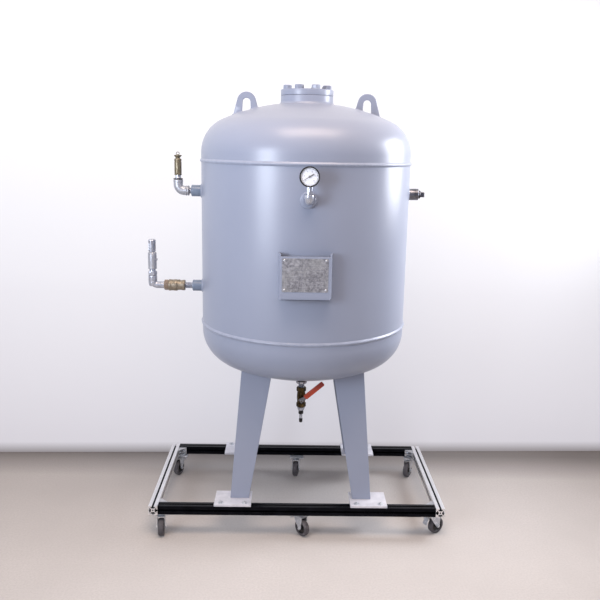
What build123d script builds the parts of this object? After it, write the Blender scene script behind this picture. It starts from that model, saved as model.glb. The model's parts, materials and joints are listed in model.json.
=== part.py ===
"""Upright compressed air receiver on four plate legs, carried by a low wheeled frame.

Millimetres, +Z up, -Y to the front.  Every piece is made about the vessel's own axis
with the floor at zero height; at the end the whole is moved so that the origin lies on
the floor in the middle of the footprint box.
"""
from build123d import *
import os
from math import atan2, cos, pi, sin, sqrt

os.makedirs("parts", exist_ok=True)

# Clearances
SEAT = 0.3                      # gap left where a curved face sits on another piece
RUN = 0.06                      # radial clearance of a shaft turning in a bore
OVERCUT = 5.0                   # how far a cutting tool runs past what it cuts

# Vessel
VESSEL_R = 450.0                # outer radius of the shell
WALL = 6.0                      # plate thickness of shell and heads
SEAM_LOW = 908.0                # height of the lower girth seam
SHELL_H = 682.0                 # from the lower girth seam to the upper one
SKIRT = 43.0                    # straight flange of each dished head
CROWN_R = 897.0                 # outer radius of the dish
KNUCKLE_R = 153.0               # outer radius of the knuckle between dish and skirt
CROWN_COURSES = 5               # straight courses that follow the dish on the outside
KNUCKLE_COURSES = 6             # straight courses that follow the knuckle on the outside
INSIDE_COURSES = 2              # straight courses that follow each of them on the hidden inside
BEAD_H = 18.0                   # width of a girth weld
BEAD_PROUD = 5.5                # height of a girth weld over the shell

# Inspection opening
FLANGE_R = 110.0                # outer radius of pad and cover
FLANGE_BORE_R = 54.0
PAD_H = 25.6                    # joint between pad and cover, above the top of the head
COVER_H = 25.0
BOLT_CIRCLE_R = 90.0
BOLT_COUNT = 8
BOLT_HOLE_R = 9.0

# Lifting lugs
LUG_X = 257.5                   # distance of each lug from the vessel axis
LUG_R = 41.0                    # outer radius of the arch
LUG_DROP = 0.6                  # centre of the arch below the top of the head
LUG_FOOT_W = 110.0              # width between the splayed flanks at the foot
LUG_FOOT_DROP = 70.0            # foot below the top of the head
LUG_SLOT_R = 17.0               # half width of the slot
LUG_SLOT_DROP = 2.6             # centre of the slot's round end below the top of the head
LUG_T = 12.0

# Ports
PORT_DROP = 123.0               # safety branch, gauge and spare port, below the upper seam
OUTLET_UP = 138.0               # outlet branch above the lower seam
SOCKET_R = 23.0                 # half coupling welded to the shell
SOCKET_L = 46.0
GAUGE_SOCKET_R = 26.0
GAUGE_SOCKET_L = 26.0
DRAIN_SOCKET_L = 58.0           # drain coupling showing under the lower head
PIPE_R = 13.6                   # nipples between the couplings and the fittings

# Legs, each folded from plate and trimmed to the head
LEG_T = 8.0
LEG_FOOT_X = 308.0              # outer corner at the base plate
LEG_FOOT_Y = 271.0
LEG_FOOT_W = 81.0
LEG_HEAD_X = 260.0              # outer corner where the plate ends, inside the head
LEG_HEAD_Y = 225.0
LEG_HEAD_W = 136.0
LEG_HEAD_DROP = 148.0           # end of the plate below the lower seam

# Wheeled frame
RAIL = 40.0                     # side of the slotted profile
FRAME_X = 642.0                 # half length over the side rails
FRAME_Y = 332.0                 # half depth
FRAME_AWAY = 15.0               # middle of the frame to the left of the vessel axis
FOOT_X = 295.0                  # centre of a base plate
FOOT_W = 160.0
FOOT_D = 130.0
FOOT_T = 10.0

# Slotted profile
SLOT_W = 8.2                    # mouth of a slot
SLOT_LIP = 4.5                  # thickness of the lips beside the mouth
SLOT_INNER_W = 20.0             # width behind the lips
SLOT_SHOULDER = 3.0             # straight depth behind the lips
SLOT_DEPTH = 12.3
SLOT_FLOOR_W = 9.0
CORE_R = 3.4                    # bore through the middle
CORNER_R = 1.5

# Corner brackets
BRACKET_L = 38.0
BRACKET_H = 34.0
BRACKET_T = 4.5

# Casters
CASTER_H = 100.0
CASTER_X = 592.0
CASTER_Y = 294.0
MOUNT_W = 70.0                  # square mounting plate
MOUNT_T = 3.0
RACE_R = 20.0                   # bearing cup under the plate
RACE_H = 6.0
TRAIL = 27.0                    # from swivel axis to axle
WHEEL_R = 37.5
WHEEL_W = 25.0
AXLE_R = 5.0
FORK_IN = 29.0                  # inside width between the cheeks
FORK_T = 2.5
FORK_BACK = 17.0                # half width of the crown ahead of the swivel axis
CHEEK_TOP = 14.0                # crown beyond the axle
CHEEK_FOOT = 9.0                # half width of a cheek at the axle
PEDAL_REACH = 40.0              # brake pedal ahead of the swivel axis
PEDAL_DROP = 34.0
PEDAL_W = 24.0
SWIVELS = {                     # place of each caster in the frame, and the way its wheel trails in degrees
    "front_left": (-CASTER_X, -CASTER_Y, -84.0),
    "front_middle": (6.0, -CASTER_Y, -50.0),
    "front_right": (CASTER_X, -CASTER_Y, 32.0),
    "rear_left": (-CASTER_X, CASTER_Y, -110.0),
    "rear_middle": (4.0, CASTER_Y, -99.0),
    "rear_right": (CASTER_X, CASTER_Y, -120.0),
}

# Safety branch, lengths from the coupling outwards
SAFETY_PIPE = 11.0              # nipple showing
SAFETY_ARM = 47.0               # elbow, mouth to corner
SAFETY_RISE = 53.0              # elbow, corner to upper mouth
SAFETY_TUBE_R = 16.5
SAFETY_BEND = 24.0
SAFETY_MOUTH_R = 18.5
MOUTH_L = 9.0                   # thick end of an elbow
BEND_COURSES = 3                # straight courses that follow the bend of an elbow
BUSH_FLATS = 30.0
BUSH_L = 13.0
SAFETY_BODY_R = 14.5
SAFETY_BODY_L = 70.0
SAFETY_CAP_R = 16.0
SAFETY_CAP_L = 16.0
RING_R = 8.0                    # pull ring
RING_HOLE_R = 5.0
RING_T = 2.5

# Outlet branch
OUTLET_PIPE = 34.0
CHECK_FIRST_R = 21.0
CHECK_FIRST_L = 34.0
CHECK_SECOND_R = 23.5
CHECK_SECOND_L = 40.0
CHECK_NUT_FLATS = 38.0
CHECK_NUT_L = 19.0
OUTLET_ARM = 52.0
OUTLET_RISE = 38.0
OUTLET_TUBE_R = 12.5
OUTLET_BEND = 20.0
OUTLET_MOUTH_R = 20.0
COUPLER_HEX = 33.0
COUPLER_HEX_L = 24.0
COUPLER_NECK_R = 13.0
COUPLER_NECK_L = 6.0
COUPLER_R = 18.0
COUPLER_L = 73.0
BUTTON_R = 5.0                  # release button on the sleeve
BUTTON_UP = 44.0
BUTTON_PROUD = 4.0
PLUG_NECK_R = 10.0
PLUG_NECK_L = 7.0
PLUG_R = 15.5
PLUG_L = 55.0

# Spare port
SPARE_COLLAR_R = 17.0
SPARE_COLLAR_L = 10.0
SPARE_SQUARE = 21.0
SPARE_SQUARE_L = 16.0

# Gauge
GAUGE_X = 4.0
GAUGE_ARM = 36.0                # elbow, mouth to stem axis
GAUGE_RISE = 24.0
GAUGE_TUBE_R = 14.0
GAUGE_BEND = 16.0
GAUGE_MOUTH_R = 17.0
GAUGE_STEM_FLATS = 21.0
GAUGE_UP = 66.0                 # centre of the case above the elbow
GAUGE_R = 38.0
GAUGE_DEPTH = 28.0
GAUGE_RIM = 5.6                 # width of the rim around the dial
GAUGE_SINK = 9.0                # dial behind the rim
DIAL_T = 1.5
WINDOW_T = 2.0
WINDOW_SINK = 2.0
NEEDLE_L = 44.0
NEEDLE_TAIL = 14.0
NEEDLE_W = 2.4
NEEDLE_T = 1.0
NEEDLE_HUB_R = 3.5
NEEDLE_ANGLE = 212.0            # needle direction, from the right, anticlockwise

# Plate holder
HOLDER_X = -3.5
HOLDER_UP = 266.0               # centre of the face above the lower seam
HOLDER_W = 185.0
HOLDER_H = 167.0
HOLDER_T = 3.0
HOLDER_STAND = 42.0             # front face in front of the shell
HOLDER_FLARE = 9.0              # how far each side opens towards the shell
EAR_H = 9.0                     # ears of the sides above the face
LIP_D = 12.0                    # folded lip under the face
PLATE_W = 167.0
PLATE_H = 130.0
PLATE_T = 1.0
PLATE_UP = 12.0                 # plate centre above the face centre

# Drain
DRAIN_PIPE = 18.0               # nipple showing
DRAIN_HEX = 34.0
DRAIN_HEX_L = 22.0
DRAIN_BODY_R = 17.5
DRAIN_L = 97.0
STEM_DROP = 56.0                # stem below the top of the valve
STEM_R = 4.0
GLAND_R = 9.0
GLAND_END = 30.0                # gland nut, distance from the drain axis
STEM_END = 44.0
LEVER_ANGLE = 41.0              # lever above the horizontal, as it stands
LEVER_L = 128.0
LEVER_W = 16.0
LEVER_T = 3.0
LEVER_EYE_R = 11.0
LEVER_INSET = 36.0              # centre of the lever plate in front of the drain axis
SLEEVE_L = 96.0
SLEEVE_W = 22.0
SLEEVE_T = 9.0
TAIL_STEPS = (                  # radius and length of each step below the valve
    (17.0, 17.0),
    (11.5, 18.0),
    (7.0, 22.0),
    (8.5, 20.0),
)

SEAM_HIGH = SEAM_LOW + SHELL_H
PORT_Z = SEAM_HIGH - PORT_DROP
OUTLET_Z = SEAM_LOW + OUTLET_UP
HOLDER_Z = SEAM_LOW + HOLDER_UP
LEG_HEAD_Z = SEAM_LOW - LEG_HEAD_DROP
FRAME_TOP = CASTER_H + RAIL
LEG_BASE = FRAME_TOP + FOOT_T
RAIL_Z = CASTER_H + RAIL / 2
RACE_LOW = CASTER_H - MOUNT_T - RACE_H

pieces = {}


def rod(radius, start, end):
    """Solid cylinder between two points."""
    path = Vector(*end) - Vector(*start)
    plane = Plane(origin=start, z_dir=path)
    return plane * Cylinder(radius, path.length, align=(Align.CENTER, Align.CENTER, Align.MIN))


def bar(flats, sides, start, end, turn=0.0):
    """Prism with a regular section between two points, given its size across flats."""
    path = Vector(*end) - Vector(*start)
    plane = Plane(origin=start, z_dir=path)
    section = Rot(0, 0, turn) * RegularPolygon(flats / 2, sides, major_radius=False)
    return plane * extrude(section, path.length)


def turned(points):
    """Solid of revolution about the vessel axis from (radius, height) points."""
    return revolve(Plane.XZ * make_face(Polyline(*points, close=True)), Axis.Z)


def four_ways(solid):
    """A piece and its images in the two upright planes of symmetry."""
    right = mirror(solid, Plane.YZ)
    return [solid, right, mirror(solid, Plane.XZ), mirror(right, Plane.XZ)]


def group(*solids):
    """Like pieces kept as one node."""
    return Compound(children=[s for part in solids for s in part.solids()])


# Vessel
def courses(centre, radius, start, end, count):
    """Points that follow an arc in straight courses, between two angles from the horizontal."""
    angles = [start + (end - start) * i / count for i in range(count + 1)]
    return [(centre[0] + radius * cos(a), centre[1] + radius * sin(a)) for a in angles]


def dome_points(offset, crown_courses, knuckle_courses):
    """Half outline of a dished end above its straight flange, from the flange to the axis."""
    knuckle_r = KNUCKLE_R + offset
    across = VESSEL_R - KNUCKLE_R
    drop = sqrt((CROWN_R - KNUCKLE_R) ** 2 - across ** 2)
    lean = atan2(drop, across)
    knuckle = courses((across, SKIRT), knuckle_r, 0, lean, knuckle_courses)
    return knuckle + courses((0, SKIRT - drop), CROWN_R + offset, lean, pi / 2, crown_courses)[1:]


def dished_head():
    """Dished end with its straight flange and girth weld, rim at zero height, opening down."""
    outside = dome_points(0, CROWN_COURSES, KNUCKLE_COURSES)
    inside = dome_points(-WALL, INSIDE_COURSES, INSIDE_COURSES)
    weld = [(VESSEL_R, 0), (VESSEL_R + BEAD_PROUD, BEAD_H / 2), (VESSEL_R, BEAD_H)]
    return turned(weld + outside + inside[::-1] + [(VESSEL_R - WALL, 0)])


def vessel_form(offset):
    """Outer form of the closed vessel, grown by an offset, for seating pieces on it."""
    outside = dome_points(offset, CROWN_COURSES, KNUCKLE_COURSES)
    over = [(r, SEAM_HIGH + h) for r, h in outside]
    under = [(r, SEAM_LOW - h) for r, h in outside[::-1]]
    return turned(under + over)


VESSEL = vessel_form(SEAT)
HEAD_RISE = dome_points(0, CROWN_COURSES, KNUCKLE_COURSES)[-1][1]
TOP_Z = SEAM_HIGH + HEAD_RISE
BOTTOM_Z = SEAM_LOW - HEAD_RISE
FLANGE_TOP = TOP_Z + PAD_H
DRAIN_SOCKET_END = BOTTOM_Z - DRAIN_SOCKET_L
DRAIN_PIPE_END = DRAIN_SOCKET_END - DRAIN_PIPE
STEM_Z = DRAIN_PIPE_END - STEM_DROP


def seated(solid):
    """What is left of a piece outside the vessel, as its largest solid."""
    return max((solid - VESSEL).solids(), key=lambda s: s.volume)


def coupling(direction, height, radius, length, across=0.0):
    """Half coupling welded to the shell, its mouth away from the vessel axis."""
    along = Vector(*direction, 0)
    aside = Vector(-direction[1], direction[0], 0) * across
    root = along * (VESSEL_R - SOCKET_L) + aside + Vector(0, 0, height)
    mouth = along * (VESSEL_R + length) + aside + Vector(0, 0, height)
    return seated(rod(radius, root, mouth))


shell = rod(VESSEL_R, (0, 0, SEAM_LOW), (0, 0, SEAM_HIGH))
pieces["shell"] = shell - rod(VESSEL_R - WALL, (0, 0, SEAM_LOW), (0, 0, SEAM_HIGH))
head = dished_head()
opening = rod(FLANGE_BORE_R, (0, 0, SKIRT), (0, 0, HEAD_RISE + OVERCUT))
pieces["top_head"] = Pos(0, 0, SEAM_HIGH) * (head - opening)
pieces["bottom_head"] = Pos(0, 0, SEAM_LOW) * Rot(180, 0, 0) * head

# Inspection opening: pad fitted to the crown of the head, and a bolted blind cover
pad_low = SEAM_HIGH + SKIRT
pad = seated(rod(FLANGE_R, (0, 0, pad_low), (0, 0, FLANGE_TOP)))
pieces["flange_pad"] = pad - rod(FLANGE_BORE_R, (0, 0, pad_low), (0, 0, FLANGE_TOP))

cover_top = FLANGE_TOP + COVER_H
cover = rod(FLANGE_R, (0, 0, FLANGE_TOP), (0, 0, cover_top))
for spot in PolarLocations(BOLT_CIRCLE_R, BOLT_COUNT, start_angle=180 / BOLT_COUNT):
    x, y, _ = spot.position
    cover -= rod(BOLT_HOLE_R, (x, y, FLANGE_TOP - OVERCUT), (x, y, cover_top + OVERCUT))
pieces["flange_cover"] = cover


# Lifting lugs
def lug(side):
    """Arched plate with splayed flanks standing on the head, its slot open down to the head."""
    arch = Pos(0, -LUG_DROP) * Circle(LUG_R)
    foot = Line((-LUG_FOOT_W / 2, -LUG_FOOT_DROP), (LUG_FOOT_W / 2, -LUG_FOOT_DROP))
    slot_foot = Rectangle(2 * LUG_SLOT_R, LUG_FOOT_DROP, align=(Align.CENTER, Align.MAX))
    outline = make_hull([*arch.edges(), foot]) - Pos(0, -LUG_SLOT_DROP) * (Circle(LUG_SLOT_R) + slot_foot)
    plate = extrude(Plane.XZ * outline, LUG_T / 2, both=True)
    return seated(Pos(side * LUG_X, 0, TOP_Z) * plate)


pieces["lifting_lugs"] = group(lug(-1), lug(1))

# Couplings
drain_coupling = seated(rod(SOCKET_R, (0, 0, SEAM_LOW - SKIRT), (0, 0, DRAIN_SOCKET_END)))
pieces["couplings"] = group(
    coupling((-1, 0), PORT_Z, SOCKET_R, SOCKET_L),
    coupling((1, 0), PORT_Z, SOCKET_R, SOCKET_L),
    coupling((-1, 0), OUTLET_Z, SOCKET_R, SOCKET_L),
    coupling((0, -1), PORT_Z, GAUGE_SOCKET_R, GAUGE_SOCKET_L, GAUGE_X),
    drain_coupling,
)


# Legs
def limb(foot_a, foot_b, head_b, head_a):
    """Flat tapered plate through four corners, its thickness on the side towards the vessel axis."""
    face = make_face(Polyline(foot_a, foot_b, head_b, head_a, close=True)).face()
    outward = face.normal_at()
    inward = outward if outward.dot(foot_a) < 0 else -outward
    return extrude(face, LEG_T, dir=inward)


def folded_leg():
    """Corner leg of two tapered limbs, cut square on its base plate and to the head above."""
    rise = LEG_HEAD_Z - LEG_BASE
    below = LEG_T / rise
    foot = Vector(-LEG_FOOT_X, -LEG_FOOT_Y, LEG_BASE)
    top = Vector(-LEG_HEAD_X, -LEG_HEAD_Y, LEG_HEAD_Z)
    foot_x = foot + Vector(LEG_FOOT_W, 0, 0)
    foot_y = foot + Vector(0, LEG_FOOT_W, 0)
    top_x = top + Vector(LEG_HEAD_W, 0, 0)
    top_y = top + Vector(0, LEG_HEAD_W, 0)
    low = foot + (foot - top) * below
    front = limb(low, foot_x + (foot_x - top_x) * below, top_x, top)
    side = limb(low, foot_y + (foot_y - top_y) * below, top_y, top)
    leg = front + side
    under = Pos(foot.X, foot.Y, LEG_BASE) * Box(VESSEL_R, VESSEL_R, LEG_HEAD_Z, align=(
        Align.CENTER, Align.CENTER, Align.MAX))
    return seated(leg - under)


pieces["legs"] = group(*four_ways(folded_leg()))

foot_plate = Pos(-FOOT_X, -FRAME_Y + FOOT_D / 2, FRAME_TOP) * Box(
    FOOT_W, FOOT_D, FOOT_T, align=(Align.CENTER, Align.CENTER, Align.MIN))
pieces["base_plates"] = group(*four_ways(foot_plate))


# Slotted frame profile
def slot_outline():
    """Undercut slot with its mouth on the upper side of the profile."""
    half = RAIL / 2
    lip = half - SLOT_LIP
    shoulder = lip - SLOT_SHOULDER
    right = [
        (SLOT_W / 2, half + OVERCUT), (SLOT_W / 2, lip), (SLOT_INNER_W / 2, lip),
        (SLOT_INNER_W / 2, shoulder), (SLOT_FLOOR_W / 2, half - SLOT_DEPTH),
    ]
    left = [(-x, y) for x, y in reversed(right)]
    return make_face(Polyline(*right, *left, close=True))


def profile():
    """Cross-section of the slotted rail."""
    section = RectangleRounded(RAIL, RAIL, CORNER_R)
    for quarter in range(4):
        section -= Rot(0, 0, 90 * quarter) * slot_outline()
    return section - Circle(CORE_R)


SECTION = profile()
long_rail = extrude(Plane.YZ * SECTION, FRAME_X - RAIL, both=True)
side_rail = extrude(Plane.XZ * SECTION, FRAME_Y, both=True)
rail_y = FRAME_Y - RAIL / 2
rail_x = FRAME_X - RAIL / 2
frame_place = Pos(-FRAME_AWAY, 0, 0)
pieces["long_rails"] = group(*(frame_place * Pos(0, side * rail_y, RAIL_Z) * long_rail for side in (-1, 1)))
pieces["side_rails"] = group(*(frame_place * Pos(side * rail_x, 0, RAIL_Z) * side_rail for side in (-1, 1)))


# Corner brackets
def bracket():
    """Cast angle bracket with two webs, in the inner front left corner of the frame."""
    block = Box(BRACKET_L, BRACKET_L, BRACKET_H, align=(Align.MIN, Align.MIN, Align.CENTER))
    half = make_face(Polyline((0, 0), (BRACKET_L, 0), (BRACKET_L, BRACKET_T), (BRACKET_T, BRACKET_L),
                              (0, BRACKET_L), close=True))
    body = block & extrude(half, BRACKET_H / 2, both=True)
    bay = (BRACKET_H - 3 * BRACKET_T) / 2
    for side in (-1, 1):
        body -= Pos(BRACKET_T, BRACKET_T, side * (bay + BRACKET_T) / 2) * Box(
            BRACKET_L, BRACKET_L, bay, align=(Align.MIN, Align.MIN, Align.CENTER))
    return Pos(-FRAME_X + RAIL, -FRAME_Y + RAIL, RAIL_Z) * body


pieces["corner_brackets"] = group(*(frame_place * corner for corner in four_ways(bracket())))

# Casters: each is made with its swivel axis on the origin and its wheel trailing along +X
def caster_mount():
    """Mounting plate with its bearing cup."""
    plate = Pos(0, 0, CASTER_H) * Box(MOUNT_W, MOUNT_W, MOUNT_T, align=(Align.CENTER, Align.CENTER, Align.MAX))
    return plate + rod(RACE_R, (0, 0, RACE_LOW), (0, 0, CASTER_H - MOUNT_T))


def fork():
    """Swivelling fork: crown, two cheeks, axle and brake pedal."""
    crown_top = RACE_LOW - SEAT
    crown_low = crown_top - FORK_T
    outline = make_face(Polyline(
        (-FORK_BACK, crown_top), (TRAIL + CHEEK_TOP, crown_top), (TRAIL + CHEEK_FOOT, WHEEL_R),
        (TRAIL, WHEEL_R - CHEEK_FOOT), (TRAIL - CHEEK_FOOT, WHEEL_R), (-FORK_BACK, crown_low - FORK_T), close=True))
    body = extrude(Plane.XZ * outline, FORK_IN / 2 + FORK_T, both=True)
    body -= Pos(0, 0, crown_low) * Box(4 * WHEEL_R, FORK_IN, 2 * WHEEL_R, align=(
        Align.CENTER, Align.CENTER, Align.MAX))
    body += rod(AXLE_R, (TRAIL, -FORK_IN / 2, WHEEL_R), (TRAIL, FORK_IN / 2, WHEEL_R))
    bend = (FORK_BACK - PEDAL_REACH) / 2 - FORK_BACK / 2
    pedal = make_face(Polyline(
        (-FORK_BACK, crown_top), (bend - FORK_BACK / 2, crown_low - FORK_T), (-PEDAL_REACH, crown_top - PEDAL_DROP),
        (FORK_T - PEDAL_REACH, crown_top - PEDAL_DROP), (bend + FORK_T - FORK_BACK / 2, crown_low - 2 * FORK_T),
        (-FORK_BACK, crown_low), close=True))
    return body + extrude(Plane.XZ * pedal, PEDAL_W / 2, both=True)


def wheel():
    """Tyred wheel with the bore for its axle."""
    half = WHEEL_W / 2
    ring = turned([(AXLE_R + RUN, -half), (WHEEL_R, -half), (WHEEL_R, half), (AXLE_R + RUN, half)])
    return Pos(TRAIL, 0, WHEEL_R) * Rot(90, 0, 0) * ring


mount_form, fork_form, wheel_form = caster_mount(), fork(), wheel()
pieces["caster_plates"] = group(*(frame_place * Pos(x, y, 0) * mount_form for x, y, _ in SWIVELS.values()))
for name, (x, y, heading) in SWIVELS.items():
    place = frame_place * Pos(x, y, 0) * Rot(0, 0, heading)
    pieces[f"fork_{name}"] = place * fork_form
    pieces[f"wheel_{name}"] = place * wheel_form


# Elbows
def elbow(tube_r, mouth_r, bend, corner, arm, rise, direction):
    """Quarter bend from a horizontal mouth, round a corner, to a mouth above it."""
    back = Vector(*direction, 0)
    up = Vector(0, 0, 1)
    mouth = corner + back * arm
    top = corner + up * rise
    centre = corner + (back + up) * bend
    turns = [i * pi / 2 / BEND_COURSES for i in range(BEND_COURSES + 1)]
    path = Polyline(mouth, *[centre - (back * sin(t) + up * cos(t)) * bend for t in turns], top)
    body = sweep(Plane(origin=mouth, z_dir=-back) * Circle(tube_r), path=path, transition=Transition.RIGHT)
    return body + rod(mouth_r, top - up * MOUTH_L, top)


left = Vector(-1, 0, 0)
up = Vector(0, 0, 1)
coupling_end = VESSEL_R + SOCKET_L

# Safety branch
safety_root = Vector(-coupling_end, 0, PORT_Z)
safety_mouth = safety_root + left * SAFETY_PIPE
safety_corner = safety_mouth + left * SAFETY_ARM
safety_elbow = elbow(SAFETY_TUBE_R, SAFETY_MOUTH_R, SAFETY_BEND, safety_corner, SAFETY_ARM, SAFETY_RISE, (1, 0))
safety_elbow += rod(SAFETY_MOUTH_R, safety_mouth, safety_mouth + left * MOUTH_L)
safety_top = safety_corner + up * SAFETY_RISE
body_low = safety_top + up * BUSH_L
body_top = body_low + up * SAFETY_BODY_L
cap_top = body_top + up * SAFETY_CAP_L
ring_centre = cap_top + up * (RING_R - RING_T)
bush = bar(BUSH_FLATS, 6, safety_top, body_low)
ring = Plane.XZ * (Circle(RING_R) - Circle(RING_HOLE_R))
pull_ring = Pos(*ring_centre) * extrude(ring, RING_T / 2, both=True)
cap = rod(SAFETY_CAP_R, body_top, cap_top)
pieces["safety_valve"] = bush + rod(SAFETY_BODY_R, body_low, body_top) + cap + pull_ring

# Outlet branch
outlet_root = Vector(-coupling_end, 0, OUTLET_Z)
check_start = outlet_root + left * OUTLET_PIPE
check_step = check_start + left * CHECK_FIRST_L
check_end = check_step + left * CHECK_SECOND_L
nut_end = check_end + left * CHECK_NUT_L
check = rod(CHECK_FIRST_R, check_start, check_step) + rod(CHECK_SECOND_R, check_step, check_end)
pieces["check_valve"] = check + bar(CHECK_NUT_FLATS, 6, check_end, nut_end)
outlet_corner = nut_end + left * OUTLET_ARM
outlet_elbow = elbow(OUTLET_TUBE_R, OUTLET_MOUTH_R, OUTLET_BEND, outlet_corner, OUTLET_ARM, OUTLET_RISE, (1, 0))
coupler_low = outlet_corner + up * OUTLET_RISE
hex_top = coupler_low + up * COUPLER_HEX_L
sleeve_low = hex_top + up * COUPLER_NECK_L
sleeve_top = sleeve_low + up * COUPLER_L
sleeve = rod(COUPLER_R, sleeve_low, sleeve_top)
button = sleeve_low + up * BUTTON_UP
sleeve += rod(BUTTON_R, button, button - left * (COUPLER_R + BUTTON_PROUD))
pieces["coupler"] = bar(COUPLER_HEX, 6, coupler_low, hex_top) + rod(COUPLER_NECK_R, hex_top, sleeve_low) + sleeve
plug_low = sleeve_top + up * PLUG_NECK_L
plug_top = plug_low + up * PLUG_L
pieces["coupler_plug"] = rod(PLUG_NECK_R, sleeve_top, plug_low) + rod(PLUG_R, plug_low, plug_top)

# Spare port
right_root = Vector(coupling_end, 0, PORT_Z)
collar_end = right_root - left * SPARE_COLLAR_L
spare = rod(SPARE_COLLAR_R, right_root, collar_end)
pieces["port_plug"] = spare + bar(SPARE_SQUARE, 4, collar_end, collar_end - left * SPARE_SQUARE_L, 45)

# Gauge
gauge_mouth_y = -VESSEL_R - GAUGE_SOCKET_L
gauge_corner = Vector(GAUGE_X, gauge_mouth_y - GAUGE_ARM, PORT_Z)
gauge_elbow = elbow(GAUGE_TUBE_R, GAUGE_MOUTH_R, GAUGE_BEND, gauge_corner, GAUGE_ARM, GAUGE_RISE, (0, 1))
stem_low = gauge_corner + up * GAUGE_RISE
gauge_centre = stem_low + up * GAUGE_UP
front = Vector(0, -1, 0)
case_front = gauge_centre + front * GAUGE_DEPTH / 2
case_back = gauge_centre - front * GAUGE_DEPTH / 2
dial_front = case_front - front * GAUGE_SINK
case = rod(GAUGE_R, case_back, case_front)
case -= rod(GAUGE_R - GAUGE_RIM, dial_front - front * DIAL_T, case_front + front * OVERCUT)
pieces["gauge_case"] = case
stem = bar(GAUGE_STEM_FLATS, 6, stem_low, gauge_centre)
pieces["gauge_stem"] = stem - rod(GAUGE_R + SEAT, case_back - front * OVERCUT, case_front + front * OVERCUT)
dial_r = GAUGE_R - GAUGE_RIM - SEAT
pieces["gauge_dial"] = rod(dial_r, dial_front - front * DIAL_T, dial_front)
window_front = case_front - front * WINDOW_SINK
pieces["gauge_glass"] = rod(dial_r, window_front - front * WINDOW_T, window_front)
pointer = Pos((NEEDLE_L / 2) - NEEDLE_TAIL, 0, 0) * Box(NEEDLE_L, NEEDLE_T, NEEDLE_W)
hub_mid = dial_front + front * (GAUGE_SINK - WINDOW_SINK - WINDOW_T) / 2
hub = rod(NEEDLE_HUB_R, dial_front, hub_mid + front * NEEDLE_T)
pieces["gauge_needle"] = Pos(*hub_mid) * Rot(0, -NEEDLE_ANGLE, 0) * pointer + hub

pieces["nipples"] = group(
    rod(PIPE_R, safety_root, safety_mouth),
    rod(PIPE_R, outlet_root, check_start),
    rod(PIPE_R, (0, 0, DRAIN_SOCKET_END), (0, 0, DRAIN_PIPE_END)),
)
pieces["elbows"] = group(safety_elbow, outlet_elbow, gauge_elbow)

# Plate holder: a face with two sides that open towards the shell, ears and a lower lip
face_y = -VESSEL_R - HOLDER_STAND
back_y = -VESSEL_R * cos(HOLDER_W / 2 / VESSEL_R) + OVERCUT
half_w = HOLDER_W / 2
section = make_face(Polyline(
    (-half_w, face_y), (half_w, face_y), (half_w + HOLDER_FLARE, back_y), (half_w + HOLDER_FLARE - HOLDER_T, back_y),
    (half_w - HOLDER_T, face_y + HOLDER_T), (-half_w + HOLDER_T, face_y + HOLDER_T),
    (-half_w - HOLDER_FLARE + HOLDER_T, back_y), (-half_w - HOLDER_FLARE, back_y), close=True))
holder_low = HOLDER_Z - HOLDER_H / 2
holder = Pos(HOLDER_X, 0, holder_low) * extrude(section, HOLDER_H + EAR_H)
above_face = Pos(HOLDER_X, face_y - OVERCUT, HOLDER_Z + HOLDER_H / 2) * Box(
    HOLDER_W + 2 * HOLDER_FLARE, HOLDER_T + 2 * OVERCUT, 2 * EAR_H, align=(Align.CENTER, Align.MIN, Align.MIN))
lip = Pos(HOLDER_X, face_y, holder_low) * Box(
    HOLDER_W - 2 * HOLDER_T, LIP_D, HOLDER_T, align=(Align.CENTER, Align.MIN, Align.MIN))
pieces["plate_holder"] = seated(holder - above_face + lip)
pieces["nameplate"] = Pos(HOLDER_X, face_y, HOLDER_Z + PLATE_UP) * Box(
    PLATE_W, PLATE_T, PLATE_H, align=(Align.CENTER, Align.MAX, Align.CENTER))

# Drain
valve_low = DRAIN_PIPE_END - DRAIN_L
drain = bar(DRAIN_HEX, 6, (0, 0, DRAIN_PIPE_END), (0, 0, DRAIN_PIPE_END - DRAIN_HEX_L))
drain += rod(DRAIN_BODY_R, (0, 0, DRAIN_PIPE_END - DRAIN_HEX_L), (0, 0, valve_low + DRAIN_HEX_L))
drain += bar(DRAIN_HEX, 6, (0, 0, valve_low + DRAIN_HEX_L), (0, 0, valve_low))
drain += rod(GLAND_R, (0, 0, STEM_Z), (0, -GLAND_END, STEM_Z))
drain += rod(STEM_R, (0, -GLAND_END, STEM_Z), (0, -STEM_END, STEM_Z))
pieces["drain_valve"] = drain

tail = []
height = valve_low
for radius, length in TAIL_STEPS:
    tail.append(rod(radius, (0, 0, height), (0, 0, height - length)))
    height -= length
pieces["drain_tail"] = tail[0] + tail[1:]

lever_place = Pos(0, -LEVER_INSET, STEM_Z) * Rot(0, -LEVER_ANGLE, 0)
lever = Box(LEVER_L, LEVER_T, LEVER_W, align=(Align.MIN, Align.CENTER, Align.CENTER))
lever += rod(LEVER_EYE_R, (0, -LEVER_T / 2, 0), (0, LEVER_T / 2, 0))
lever -= rod(STEM_R + RUN, (0, -LEVER_T, 0), (0, LEVER_T, 0))
pieces["drain_lever"] = lever_place * lever
grip = Pos(LEVER_L + LEVER_T, 0, 0) * Box(SLEEVE_L, SLEEVE_T, SLEEVE_W, align=(Align.MAX, Align.CENTER, Align.CENTER))
grip = chamfer(grip.edges().filter_by(Axis.X), LEVER_T)
grip -= Pos(LEVER_L, 0, 0) * Box(SLEEVE_L + OVERCUT, LEVER_T, LEVER_W, align=(Align.MAX, Align.CENTER, Align.CENTER))
pieces["lever_sleeve"] = lever_place * grip

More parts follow.
